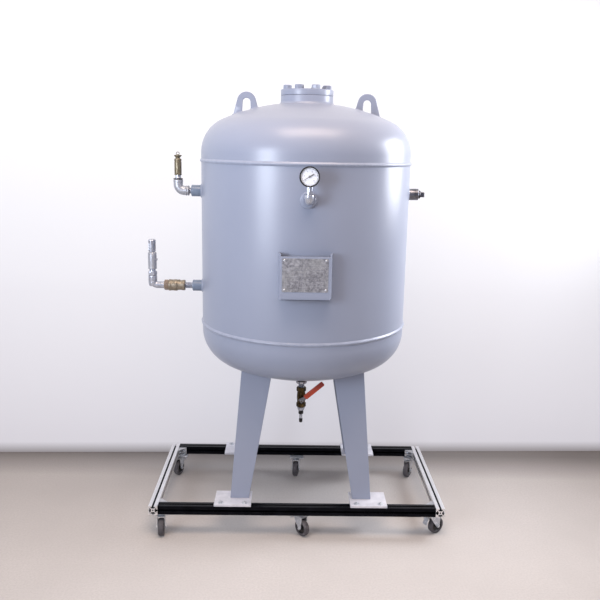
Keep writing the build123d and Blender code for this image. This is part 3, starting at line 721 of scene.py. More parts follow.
class RECEIVER_OT_vessel(Operator):
    """Shell, dished heads and girth welds"""

    bl_idname = "receiver.vessel"
    bl_label = "Vessel"

    def execute(self, context):
        sizes = context.scene.receiver_vessel
        low = on_axis(AXIS.x, SEAM_LOW)
        high = on_axis(AXIS.x, SEAM_HIGH)
        tall = SEAM_HIGH - SEAM_LOW
        ring = np.array([(SHELL_R, 0), (SHELL_R, tall), (SHELL_R - sizes.wall, tall),
                         (SHELL_R - sizes.wall, 0)])
        piece("shell_skin", [lathe(ring, low, UP, 256)], "enamel", ("shell",), wrap=True)
        skin = head_skin(sizes)
        piece("top_head_skin", [lathe(skin, high, UP, 256)], "enamel", ("top_head",))
        piece("bottom_head_skin", [lathe(skin, low, -UP, 256)], "enamel", ("bottom_head",))
        middle = [SEAM_LOW - sizes.bead / 2, SEAM_HIGH + sizes.bead / 2]
        piece("girth_welds", [bead_ring(sizes, z) for z in middle], "weld", wrap=True, sharp=60)
        return {"FINISHED"}


def bolt_grid(base, along, flats, head, washer=0.0, turn=0.0):
    """Hexagon head on its washer: the smaller of the hexagon's radius and a 30 degree cone at the top."""
    thick = 0.0025 if washer else 0.0
    profile = [(0, 0), (washer or flats / 2, 0), (washer or flats / 2, thick)]
    top = thick + head
    profile += [(flats / 2, thick + 0.0004), (flats / 2, top - 0.10 * flats), (flats / 2, top - 0.05 * flats),
                (flats / 2, top - 0.02 * flats), (flats * 0.46, top), (0, top)]
    profile = np.array(profile)
    hexed = ((profile[:, 0] > 0.47 * flats) & (profile[:, 1] > thick)).astype(float)[:, None]

    def shape(radius, height, angle):
        cone = flats * 0.46 + (top - height) / tan(radians(30))
        corner = np.minimum(radius * hexagon(angle + turn), cone)
        return np.where(hexed > 0, corner, radius)

    return lathe(profile, base, along, 48, shape)


class RECEIVER_OT_flange(Operator):
    """Inspection flange: pad, joint, blind cover and its bolts"""

    bl_idname = "receiver.flange"
    bl_label = "Inspection flange"

    def execute(self, context):
        sizes = context.scene.receiver_vessel
        bolts = context.scene.receiver_bolts
        cover_low, cover_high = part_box("flange_cover")
        radius = (cover_high.x - cover_low.x) / 2 + 0.0022
        joint = on_axis(AXIS.x, cover_low.z)
        foot = SEAM_HIGH + float(head_height(sizes, radius)) - sizes.fillet / 2 - cover_low.z
        packing_half = 0.0012
        pad = rounded([(0, foot), (radius + sizes.fillet, foot), (radius, foot + sizes.fillet * 1.4),
                       (radius, -packing_half), (radius - 0.002, 0), (0, 0)], 0.0025)
        piece("flange_pad_skin", [lathe(pad, joint, UP, 160)], "enamel", ("flange_pad",))
        tall = cover_high.z - cover_low.z
        edge = radius - 0.0025
        plate = rounded([(0, 0), (edge, 0), (radius, 0.0015), (radius, tall - 0.0012),
                         (radius - 0.0012, tall), (0, tall)], 0.0008)
        piece("flange_cover_skin", [lathe(plate, joint, UP, 160)], "enamel", ("flange_cover",))
        packing_r = radius - 0.0016
        packing = [(0, -packing_half), (packing_r, -packing_half), (packing_r, packing_half),
                   (0, packing_half)]
        piece("flange_joint", [lathe(packing, joint, UP, 160)], "black")
        step = TURN / bolts.count
        top = on_axis(AXIS.x, cover_high.z)
        grids = []
        for index in range(bolts.count):
            angle = (index + 0.5) * step
            spot = top + bolts.circle * Vector((cos(angle), sin(angle), 0))
            grids.append(bolt_grid(spot, UP, bolts.flats, bolts.head, 0.0, index * 0.41))
        piece("flange_bolts", grids, "enamel")
        return {"FINISHED"}


def lug_band(sizes, middle, top, thick):
    """Arched lug as a band between its outer and inner outline, and the spans where its feet meet the head.

    Outside, an arc of radius R turns from one splayed flank to the other; the flank leaves it at the splay
    angle a, so at a depth d below its end it has moved out by d tan a. Inside, the slot is an arc of
    radius r with sides that lean by a fifth of that. Both run on into the head.
    """
    outer, inner, splay = 0.0405, 0.0165, radians(15)
    foot = 0.096

    def side_line(radius, lean, centre_z):
        """Half outline from the top of the arc down one flank: (distance from the lug's middle, height)."""
        turn = np.linspace(0, pi / 2 - lean, 16)
        arc = np.stack([radius * np.sin(turn), centre_z + radius * np.cos(turn)], 1)
        drop = np.linspace(0, foot, 12)[1:]
        flank = arc[-1] + np.stack([drop * tan(lean), -drop], 1)
        return np.concatenate([arc, flank])

    centre_z = top - outer
    outside = side_line(outer, splay, centre_z)
    inside = side_line(inner, splay / 5, centre_z - 0.002)
    outside = np.concatenate([outside[::-1] * (-1, 1), outside[1:]])
    inside = np.concatenate([inside[::-1] * (-1, 1), inside[1:]])
    flat = thick / 2
    narrow = flat - 0.0016
    rows = [(inside + (outside - inside) * share, half)
            for share, half in ((0, narrow), (0.07, flat), (0.93, flat), (1, narrow))]
    loop = rows + [(line, -half) for line, half in rows[::-1]]
    grid = np.stack([np.column_stack([middle + line[:, 0], np.full(len(line), AXIS.y + half), line[:, 1]])
                     for line, half in loop], 1)
    feet = []
    for way in (-1, 1):
        spans = []
        for line in (inside, outside):
            half = line[line[:, 0] * way > 0]
            above = half[:, 1] - SEAM_HIGH - head_height(sizes, np.abs(middle + half[:, 0] - AXIS.x))
            spans.append(middle + float(half[np.argmin(np.abs(above)), 0]))
        feet.append(sorted(spans))
    return capped(grid), feet


class RECEIVER_OT_lugs(Operator):
    """Lifting lugs and the welds round their feet"""

    bl_idname = "receiver.lugs"
    bl_label = "Lifting lugs"

    def execute(self, context):
        sizes = context.scene.receiver_vessel
        low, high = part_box("lifting_lugs")
        thick = high.y - low.y
        grids = []
        welds = []
        for side in (-1, 1):
            middle = AXIS.x + side * LUG_REACH
            plate, feet = lug_band(sizes, middle, high.z, thick)
            grids.append(plate)
            for inner, outer in feet:
                corners = [(inner, -thick / 2), (outer, -thick / 2), (outer, thick / 2), (inner, thick / 2)]
                outline = rounded(corners, 0.004, 6, closed=True)
                height = head_height(sizes, np.hypot(outline[:, 0] - AXIS.x, outline[:, 1]))
                path = np.column_stack([outline[:, 0], AXIS.y + outline[:, 1], SEAM_HIGH + height])
                welds.append(looped(path, (0, 0, 1), circle(0.0045, 10)))
        piece("lifting_lugs_skin", grids, "enamel", ("lifting_lugs",))
        piece("lug_welds", welds, "weld", wrap=True)
        return {"FINISHED"}


def coupling_grid(mouth, along, radius, bore, depth):
    """Half coupling: a round bar with a chamfered mouth, a recess round the pipe and a closed root."""
    profile = [(0, -depth), (radius, -depth), (radius, -0.002), (radius - 0.002, 0), (bore, 0),
               (bore - 0.001, -0.004), (0, -0.004)]
    return lathe(rounded(profile, 0.001), mouth, along, 64)


def pipe_thread(start, along, radius, length, pitch=0.0018, depth=0.0011):
    """Threaded pipe: the radius follows a triangle wave of height over pitch less angle over a turn."""
    height = np.linspace(0, length, max(8, int(length / pitch * 8)))
    profile = np.stack([np.full_like(height, radius), height], 1)

    def shape(reach, along_it, angle):
        phase = (along_it / pitch - angle / TURN) % 1
        return reach - depth * np.abs(2 * phase - 1)

    return capped(lathe(profile, start, along, 64, shape))


class RECEIVER_OT_couplings(Operator):
    """Half couplings with their welds, and the threaded nipples in them"""

    bl_idname = "receiver.couplings"
    bl_label = "Couplings"

    def execute(self, context):
        sizes = context.scene.receiver_vessel
        gauge = centre("gauge_case")
        gauge_mouth = Vector((gauge.x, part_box("couplings")[0].y, PORT_Z))
        drain_mouth = on_axis(AXIS.x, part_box("couplings")[0].z)
        ports = [
            (on_axis(COUPLING_LEFT, PORT_Z), LEFT, COUPLING_R),
            (on_axis(COUPLING_RIGHT, PORT_Z), RIGHT, COUPLING_R),
            (on_axis(COUPLING_LEFT, OUTLET_Z), LEFT, COUPLING_R),
            (gauge_mouth, FRONT, 0.026),
            (drain_mouth, -UP, COUPLING_R),
        ]
        grids = [coupling_grid(mouth, along, reach, 0.0165, 0.055) for mouth, along, reach in ports]
        # The left couplings take the darker enamel: painted shade.
        piece("couplings_skin", grids[:1] + grids[2:3], "coupling_shaded_paint", ("couplings",))
        piece("gauge_coupling_skin", grids[3:4], "enamel", ("couplings",))
        piece("spare_coupling_skin", grids[1:2], "forged", ("couplings",))
        piece("drain_coupling_skin", grids[4:], "nickel", ("couplings",))
        welds = [saddle(sizes, mouth, along, reach + 0.001, SHELL_R) for mouth, along, reach in ports[:4]]
        # Painted shade: a black band round the drain coupling just under the head stands for the shade at its
        # rim.
        rim_shade = rounded([(0, 0), (0.0262, 0), (0.0262, 0.0055), (0, 0.0055)], 0.0008)
        piece("drain_rim_shade", [lathe(rim_shade, drain_mouth + UP * 0.0115, UP, 64)], "black")
        foot = head_height(sizes, COUPLING_R)
        angle = np.linspace(0, TURN, 64, endpoint=False)
        ring = np.stack([AXIS.x + COUPLING_R * np.cos(angle), AXIS.y + COUPLING_R * np.sin(angle),
                         np.full_like(angle, SEAM_LOW - foot)], 1)
        welds.append(looped(ring, (0, 0, 1), circle(sizes.fillet, 10)))
        piece("coupling_welds", welds, "weld", wrap=True, sharp=60)
        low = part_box("nipples")[0]
        entry = 0.003
        threads = [
            pipe_thread(on_axis(x - entry, z), RIGHT, PIPE_R, COUPLING_LEFT - x + 0.005)
            for x, z in ((COUPLING_LEFT - SAFETY_GAP, PORT_Z), (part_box("check_valve")[1].x, OUTLET_Z))
        ]
        threads.append(pipe_thread(on_axis(AXIS.x, low.z), UP, PIPE_R, drain_mouth.z - low.z + entry))
        piece("nipples_skin", threads, "nickel", ("nipples",), sharp=50)
        return {"FINISHED"}


class RECEIVER_OT_legs(Operator):
    """Plate legs, base plates and their screws"""

    bl_idname = "receiver.legs"
    bl_label = "Legs"

    def execute(self, context):
        bolts = context.scene.receiver_bolts
        dressed("legs", "enamel", 0.0018)
        dressed("base_plates", "foot_plate", 0.0012)
        low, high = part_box("base_plates")
        plate_wide = 0.160
        inset = 0.028
        from_edge = 0.020
        grids = []
        for side_x in (-1, 1):
            for side_y in (-1, 1):
                corner_x = high.x if side_x > 0 else low.x
                corner_y = high.y if side_y > 0 else low.y
                y = corner_y - side_y * from_edge
                for reach in (inset, plate_wide - inset):
                    spot = Vector((corner_x - side_x * reach, y, high.z))
                    grids.append(screw_grid(spot, UP, bolts.foot, 0.005, bolts.washer))
        piece("foot_screws", grids, "zinc")
        return {"FINISHED"}


def screw_grid(base, along, radius, head, washer=0.0):
    """Domed socket screw on its washer, with a hexagon socket sunk in the head."""
    thick = 0.0016 if washer else 0.0
    wide = washer or radius
    socket = radius * 0.48
    profile = np.array([
        (0, 0), (wide, 0), (wide, thick * 0.8), (wide - thick * 0.2, thick), (radius, thick + 0.0002),
        (radius, thick + head * 0.35), (radius * 0.93, thick + head * 0.72),
        (radius * 0.72, thick + head * 0.96), (radius * 0.56, thick + head),
        (socket, thick + head), (socket, thick + head * 0.35), (0, thick + head * 0.3),
    ])
    hexed = np.isclose(profile[:, 0], socket)[:, None]

    def shape(reach, _, angle):
        return np.where(hexed, reach * hexagon(angle), reach)

    return lathe(profile, base, along, 36, shape)


class RECEIVER_OT_nameplate(Operator):
    """Plate holder, bare etched plate, its ruled fields and rivets"""

    bl_idname = "receiver.nameplate"
    bl_label = "Nameplate"

    def execute(self, context):
        holder = dressed("plate_holder", "enamel", 0.0013)
        low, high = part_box("nameplate")
        middle = (low.x + high.x) / 2
        holder_share = 1.035
        past_left, past_right = 0.0055, 0.0035
        widened = Matrix.Translation((middle, 0, 0)) @ Matrix.Diagonal((holder_share, 1, 1, 1))
        holder.data.transform(widened @ Matrix.Translation((-middle, 0, 0)))
        low.x -= past_left
        high.x += past_right
        corners = [(low.x, low.z), (high.x, low.z), (high.x, high.z), (low.x, high.z)]
        outline = rounded(corners, 0.004, 6, closed=True)
        sheet = np.stack([np.column_stack([outline[:, 0], np.full(len(outline), y), outline[:, 1]])
                          for y in (high.y, low.y + 0.0002, low.y)])
        sheet[2, :, [0, 2]] += (sheet[2].mean(0)[[0, 2]][:, None] - sheet[2, :, [0, 2]]) * 0.002
        piece("nameplate_skin", [capped(sheet)], "etched", ("nameplate",))
        face = low.y
        inset = 0.0085
        rivets = []
        for x in (low.x + inset, high.x - inset):
            for z in (low.z + inset, high.z - inset):
                dome = [(0, 0), (0.0044, 0), (0.0043, 0.0008), (0.0032, 0.0020), (0.0015, 0.0026),
                        (0, 0.0027)]
                rivets.append(lathe(dome, Vector((x, face, z)), FRONT, 24))
        piece("plate_rivets", rivets, "zinc", slot="stainless")
        rules = []
        rows = 7
        margin = 0.014
        column = 0.062
        left = low.x + margin
        right = high.x - margin
        bottom = low.z + margin
        top = high.z - 0.030
        for z in np.linspace(bottom, top, rows):
            path = np.array([(left, face, z), (right, face, z)])
            rules.append(capped(swept(path, (0, 0, 1), box_section(0.0003, 0.0006, 0.0001))))
        for x in (left, left + column, right):
            path = np.array([(x, face, bottom), (x, face, top)])
            rules.append(capped(swept(path, (1, 0, 0), box_section(0.0003, 0.0006, 0.0001))))
        piece("plate_rules", rules, "etch")
        return {"FINISHED"}


def bend_path(mouth, corner, top, bend, steps=17):
    """Path from a mouth to a top: straight, a quarter circle of the bend's radius, straight."""
    mouth = np.array(mouth)
    corner = np.array(corner)
    top = np.array(top)
    back = unit(mouth - corner)
    rise = unit(top - corner)
    angle = np.linspace(0, pi / 2, steps)[:, None]
    centre_point = corner + (back + rise) * bend
    arc = centre_point - bend * (back * np.sin(angle) + rise * np.cos(angle))
    first = np.linspace(mouth, arc[0], 6)[:-1]
    last = np.linspace(arc[-1], top, 6)[1:]
    return np.concatenate([first, arc, last])


def elbow_grids(mouth, corner, top, tube, bend, bands):
    """Elbow casting: a tube round the bend, and at each mouth a band given by its radius and length."""
    path = bend_path(mouth, corner, top, bend)
    across = np.cross(np.array(mouth) - np.array(corner), np.array(top) - np.array(corner))
    grids = [capped(swept(path, across, circle(tube, 48)))]
    for end, inner, (radius, length) in ((mouth, corner, bands[0]), (top, corner, bands[1])):
        if radius:
            band = rounded([(0, 0), (radius, 0), (radius, length), (tube * 0.9, length + (radius - tube)),
                            (0, length)], 0.002)
            grids.append(lathe(band, end, np.array(inner) - np.array(end), 64))
    return grids


def hex_grid(start, along, flats, length, chamfer=0.1, turn=0.0):
    """Hexagon bar: the smaller of the hexagon's radius and 30 degree cones from its two ends."""
    edge = chamfer * flats
    height = np.array([0, 0, edge * 0.35, edge, length - edge, length - edge * 0.35, length, length])
    radius = np.array([0, 0.47, 0.5, 0.5, 0.5, 0.5, 0.47, 0]) * flats
    profile = np.stack([radius, height], 1)
    solid = (radius > 0.2 * flats)[:, None]

    def shape(reach, along_it, angle):
        ends = np.minimum(along_it, length - along_it)
        cone = flats * 0.485 + ends / tan(radians(30))
        return np.where(solid, np.minimum(flats / 2 * hexagon(angle + turn), cone), reach)

    return lathe(profile, start, along, 48, shape)


class RECEIVER_OT_gauge(Operator):
    """Gauge with its dial, pointer, window, stem and elbow"""

    bl_idname = "receiver.gauge"
    bl_label = "Gauge"

    def execute(self, context):
        low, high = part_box("gauge_case")
        middle = (low + high) / 2
        radius = (high.x - low.x) / 2
        deep = high.y - low.y
        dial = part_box("gauge_dial")
        dial_r = (dial[1].x - dial[0].x) / 2
        dial_y = dial[0].y
        back = Vector((middle.x, high.y, middle.z))
        well = high.y - dial_y - 0.001
        dial_r += 0.0006
        case = [(0, 0), (radius * 0.86, 0), (radius * 0.97, deep * 0.12), (radius * 0.97, deep * 0.72),
                (radius, deep * 0.76), (radius, deep * 0.95), (radius * 0.985, deep), (radius * 0.935, deep),
                (dial_r + 0.0006, deep * 0.95), (dial_r, well), (0, well)]
        piece("gauge_case_skin", [lathe(rounded(case, 0.0012), back, FRONT, 128)], "black", ("gauge_case",),
              slot="black_plastic")
        card = [(0, 0), (dial_r, 0), (dial_r, 0.0012), (0, 0.0012)]
        card_back = Vector((middle.x, dial_y + 0.0012, middle.z))
        piece("gauge_dial_skin", [lathe(card, card_back, FRONT, 96)], "dial", ("gauge_dial",))
        frame["nodes"]["gauge_glass"].material_slots[0].material = finish("window")
        self.marks(Vector((middle.x, dial_y, middle.z)), dial_r)
        self.pointer(Vector((middle.x, dial_y, middle.z)), dial_r)
        self.stem(middle, radius)
        return {"FINISHED"}

    def marks(self, hub, dial_r):
        """Scale of 50 steps over 270 degrees, every fifth mark longer and thicker, with numbers inside."""
        grids = []
        first = radians(225)
        sweep = radians(270)
        steps = 50
        for index in range(steps + 1):
            angle = first - sweep * index / steps
            out = Vector((cos(angle), 0, sin(angle)))
            long = index % 5 == 0
            start = hub + out * dial_r * (0.80 if long else 0.86) + FRONT * 0.0001
            end = hub + out * dial_r * 0.93 + FRONT * 0.0001
            wide = 0.0009 if long else 0.00045
            grids.append(capped(swept(np.array([start, end]), (0, 1, 0),
                                      box_section(wide, 0.0002, 0.00004, 2))))
        ring = circle(dial_r * 0.93, 96)
        path = np.column_stack([hub.x + ring[:, 0], np.full(len(ring), hub.y - 0.0001), hub.z + ring[:, 1]])
        piece("dial_marks", grids, "ink")
        piece("dial_ring", [looped(path, (0, 1, 0), box_section(0.0005, 0.0002, 0.00004, 2))], "ink",
              wrap=True)
        for index in range(6):
            angle = first - sweep * index / 5
            spot = hub + Vector((cos(angle), 0, sin(angle))) * dial_r * 0.62 + FRONT * 0.0002
            number(f"dial_number_{index}", str(index * 2), spot, 0.0075)

    def pointer(self, hub, dial_r):
        """Tapered pointer with a counterweight, standing a little past zero, under a round cap."""
        angle = radians(211)
        out = np.array((cos(angle), 0, sin(angle)))
        lift = np.array(hub) + np.array(FRONT) * 0.0026
        along = np.linspace(-0.56, 0.84, 29)
        wide = np.where(along < -0.16, 2.4, 1.3 - 1.0 * np.clip(along, 0, 1))
        path = lift + out * along[:, None] * dial_r
        section = box_section(0.0020, 0.0006, 0.0001, 2)
        needle = capped(swept(path, (0, 1, 0), section, wide))
        cap = rounded([(0, 0), (0.0042, 0), (0.0042, 0.0030), (0.0030, 0.0040), (0, 0.0042)], 0.0006)
        piece("gauge_needle_skin", [needle, lathe(cap, hub, FRONT, 32)], "ink", ("gauge_needle",),
              slot="black_plastic")

    def stem(self, middle, radius):
        """Square-shouldered hexagon stem, and the nickelled street elbow that carries it."""
        corner = Vector((middle.x, middle.y, PORT_Z))
        stem_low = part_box("gauge_stem")[0].z
        root = Vector((middle.x, middle.y, stem_low))
        long = middle.z - radius - stem_low + 0.004
        piece("gauge_stem_skin", [hex_grid(root, UP, 0.021, long, 0.08, pi / 6)], "nickel", ("gauge_stem",),
              slot="brass")
        mouth = Vector((middle.x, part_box("couplings")[0].y, PORT_Z))
        grids = elbow_grids(mouth, corner, root, 0.0163, 0.0168, ((0, 0), (0.0170, 0.012)))
        piece("gauge_elbow", grids, "nickel", ("elbows",))


def number(name, text, spot, tall):
    """A plain number lying on the dial, as a flat mesh facing the front."""
    curve = bpy.data.curves.new(name, "FONT")
    curve.body = text
    curve.size = tall
    curve.align_x = "CENTER"
    curve.align_y = "CENTER"
    curve.extrude = 0.00008
    holder = bpy.data.objects.new(f"{name}_curve", curve)
    bpy.context.scene.collection.objects.link(holder)
    bpy.context.view_layer.update()
    mesh = bpy.data.meshes.new_from_object(holder.evaluated_get(bpy.context.evaluated_depsgraph_get()))
    bpy.data.objects.remove(holder)
    mesh.transform(Matrix.Translation(spot) @ Matrix.Rotation(pi / 2, 4, "X"))
    placed(name, mesh, "ink")


class RECEIVER_OT_safety_branch(Operator):
    """Elbow and spring-loaded safety valve at the upper left"""

    bl_idname = "receiver.safety_branch"
    bl_label = "Safety branch"

    def execute(self, context):
        low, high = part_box("safety_valve")
        axis = centre("safety_valve")
        mouth = on_axis(COUPLING_LEFT - SAFETY_GAP, PORT_Z)
        corner = on_axis(axis.x, PORT_Z)
        foot = on_axis(axis.x, low.z)
        grids = elbow_grids(mouth, corner, foot - UP * 0.006, 0.0200, 0.026,
                            ((0.0222, 0.005), (0.0208, 0.012)))
        grids += elbow_grids(mouth + LEFT * 0.009, corner, foot, 0.0140, 0.020, ((0.0222, 0.004), (0, 0)))
        piece("safety_elbow", grids, "cast_steel", ("elbows",))
        bush = hex_grid(foot - UP * 0.006, UP, 0.0365, 0.0055)
        # Painted shade: the bush is near black for the dark gap under the valve.
        piece("safety_bush", [bush], "shade_black_steel", slot="")
        neck = rounded([(0, -0.001), (0.0128, -0.001), (0.0128, 0.0040), (0.0118, 0.0050), (0.0118, 0.0140),
                        (0, 0.0140)], 0.0008)
        piece("safety_neck", [lathe(neck, foot, UP, 64)], "nickel", ("safety_valve",))
        body_low = 0.0130
        cap_low = 0.0835
        body = rounded([
            (0, body_low), (0.0146, body_low), (0.0155, 0.0142), (0.0155, 0.0200), (0.0147, 0.0208),
            (0.0147, 0.0224), (0.0155, 0.0232), (0.0155, 0.0690), (0.0146, 0.0700), (0.0146, 0.0725),
            (0.0155, 0.0735), (0.0155, 0.0810), (0.0138, cap_low), (0.0090, cap_low), (0, cap_low)], 0.0008)
        holes = 6

        def crowned(radius, height, angle):
            """Scallops: the radius loses up to 0.05 of itself, as (1 + cos 12v) / 2, over 16 mm."""
            rise = np.clip((height - cap_low) / 0.016, 0, 1)
            return radius * (1 - 0.05 * rise * (0.5 + 0.5 * np.cos(12 * angle)))

        def vented(radius, height, angle):
            """Relief holes: the radius drops where height and angle lie inside a round window."""
            around = ((angle * holes / TURN + 0.5) % 1 - 0.5) * TURN / holes * 0.0145
            near = np.hypot(around, height - 0.0165)
            return radius - 0.005 * (near < 0.0034) * (radius > 0.012)

        steps = np.linspace(0.0135, 0.0198, 18)
        fine = np.concatenate([body[body[:, 1] < 0.0135], np.stack([np.full_like(steps, 0.0155), steps], 1),
                               body[body[:, 1] > 0.0198]])
        cap = rounded([(0, cap_low), (0.0095, cap_low), (0.0092, 0.0870), (0.0165, 0.0950), (0.0165, 0.0985),
                       (0.0125, 0.0990), (0.0060, 0.0975), (0, 0.0975)], 0.0008)
        spindle = rounded([(0, 0.0970), (0.0032, 0.0970), (0.0032, 0.1020), (0, 0.1020)], 0.0006)
        grids = [lathe(fine, foot, UP, 96, vented), lathe(cap, foot, UP, 96, crowned),
                 lathe(spindle, foot, UP, 24)]
        piece("safety_valve_skin", grids, "dull_brass", ("safety_valve",))
        ring_r = 0.0066
        angle = np.linspace(0, TURN, 48, endpoint=False)
        hub = on_axis(axis.x, high.z - ring_r - 0.0013)
        path = np.column_stack([hub.x + ring_r * np.cos(angle), np.full(48, hub.y),
                                hub.z + ring_r * np.sin(angle)])
        piece("pull_ring", [looped(path, (0, 1, 0), circle(0.0014, 12))], "dull_brass", slot="", wrap=True)
        return {"FINISHED"}


class RECEIVER_OT_outlet_branch(Operator):
    """Check valve, elbow, quick coupler and plug at the lower left"""

    bl_idname = "receiver.outlet_branch"
    bl_label = "Outlet branch"

    def execute(self, context):
        self.check_valve()
        self.elbow()
        self.coupler()
        self.plug()
        return {"FINISHED"}

    def check_valve(self):
        """Cast body in two barrels, and the hexagon nut that takes the elbow."""
        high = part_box("check_valve")[1]
        start = on_axis(high.x, OUTLET_Z)
        barrel = rounded([
            (0, 0), (0.0215, 0), (0.0235, 0.002), (0.0235, 0.012), (0.0222, 0.0145), (0.0222, 0.030),
            (0.0235, 0.033), (0.0225, 0.034), (0.0256, 0.0355), (0.0256, 0.048), (0.0246, 0.050),
            (0.0246, 0.062), (0.0256, 0.064), (0.0256, 0.0725), (0.0235, 0.074), (0, 0.074)], 0.0012)
        nut = hex_grid(on_axis(high.x - 0.074, OUTLET_Z), LEFT, 0.0415, 0.019)
        screw = rounded([(0, 0), (0.005, 0), (0.005, 0.0035), (0, 0.0045)], 0.0008)
        cap = on_axis(high.x - 0.027, OUTLET_Z + 0.021)
        piece("check_valve_skin", [lathe(barrel, start, LEFT, 96), lathe(screw, cap, UP, 32)], "brass",
              ("check_valve",))
        piece("check_valve_nut", [nut], "bright_brass")

    def elbow(self):
        """Nickelled elbow with a heavy upper band."""
        mouth = on_axis(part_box("check_valve")[0].x, OUTLET_Z)
        axis = centre("coupler_plug")
        corner = on_axis(axis.x, OUTLET_Z)
        top = on_axis(axis.x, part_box("coupler")[0].z + 0.005)
        grids = elbow_grids(mouth, corner, top, 0.0152, 0.021, ((0, 0), (0.0198, 0.026)))
        shoulder = rounded([(0, 0), (0.0160, 0), (0.0192, 0.012), (0.0198, 0.022), (0, 0.030)], 0.003)
        grids.append(lathe(shoulder, top - UP * 0.048, UP, 64))
        piece("outlet_elbow", grids, "nickel", ("elbows",))

    def coupler(self):
        """Hexagon nipple, grooved release sleeve and its button."""
        low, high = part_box("coupler")
        axis = centre("coupler_plug")
        foot = on_axis(axis.x, low.z)
        tall = high.z - low.z
        nipple = rounded([(0, 0.024), (0.0145, 0.024), (0.0135, 0.0290), (0.0135, 0.0345), (0, 0.0345)],
                         0.0008)
        sleeve = rounded([
            (0, 0.0335), (0.0168, 0.0335), (0.0190, 0.0360), (0.0190, 0.0450), (0.0182, 0.0458),
            (0.0182, 0.0478), (0.0190, 0.0486), (0.0190, 0.0990), (0.0182, 0.0998), (0.0182, 0.1014),
            (0.0190, 0.1022), (0.0190, tall + 0.0030), (0.0160, tall + 0.0065), (0.0120, tall + 0.0065),
            (0.0115, tall + 0.0040), (0, tall + 0.0040)], 0.0007)
        button = rounded([(0, 0), (0.0055, 0), (0.0055, 0.0215), (0.0035, 0.0232), (0, 0.0232)], 0.0008)
        knob = on_axis(axis.x, low.z + 0.077)
        grids = [hex_grid(foot + UP * 0.006, UP, 0.0345, 0.0185), lathe(nipple, foot, UP, 64),
                 lathe(button, knob, RIGHT, 32)]
        piece("coupler_skin", grids, "nickel", ("coupler",))
        piece("coupler_sleeve_skin", [lathe(sleeve, foot, UP, 96)], "cast_steel", ("coupler",))

    def plug(self):
        """Vented plug: neck, barrel with windows cut in it and a rounded nose."""
        low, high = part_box("coupler_plug")
        foot = on_axis(centre("coupler_plug").x, low.z + 0.003)
        tall = high.z - low.z
        height = np.linspace(0.010, tall - 0.012, 40)
        barrel = np.stack([np.full_like(height, 0.0165), height], 1)
        profile = np.concatenate([[(0, -0.002), (0.0100, -0.002), (0.0100, 0.006), (0.0150, 0.007),
                                   (0.0165, 0.009)], barrel,
                                  rounded([(0.0170, tall - 0.011), (0.0170, tall - 0.005), (0.0115, tall),
                                           (0, tall)], 0.004)])

        def windowed(radius, along_it, angle):
            """Windows: the radius drops to 0.68 of itself inside three slots of angle and height."""
            around = np.abs((angle * 3 / TURN) % 1 - 0.5) * 2
            inside = (around < 0.55) & (along_it > 0.016) & (along_it < tall - 0.020)
            return np.where(inside & (radius > 0.014), radius * 0.68, radius)

        piece("coupler_plug_skin", [lathe(profile, foot, UP, 144, windowed)], "nickel", ("coupler_plug",))


class RECEIVER_OT_spare_port(Operator):
    """Square-headed plug at the right"""

    bl_idname = "receiver.spare_port"
    bl_label = "Spare port"

    def execute(self, context):
        low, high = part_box("port_plug")
        start = on_axis(low.x - 0.003, PORT_Z)
        collar = rounded([(0, 0), (0.0165, 0), (0.0165, 0.004), (0.0175, 0.005), (0.0175, 0.010),
                          (0.0140, 0.013), (0, 0.013)], 0.0008)
        square = np.array([(0, 0), (0.0110, 0), (0.0110, 0.013), (0.0105, 0.0155), (0.0088, 0.016),
                           (0, 0.016)])

        def shape(radius, _, angle):
            """Square head with its corners turned off at 1.3 of the half side."""
            return np.minimum(radius * hexagon(angle, 4), 0.0110 * 1.3)

        head = lathe(square, on_axis(high.x - 0.016, PORT_Z), RIGHT, 64, shape)
        # Painted shade: the collar is near black for the gap between coupling and plug.
        piece("port_collar_skin", [lathe(collar, start, RIGHT, 64)], "shade_black_steel", ("port_plug",))
        piece("port_plug_skin", [head], "forged", ("port_plug",))
        return {"FINISHED"}


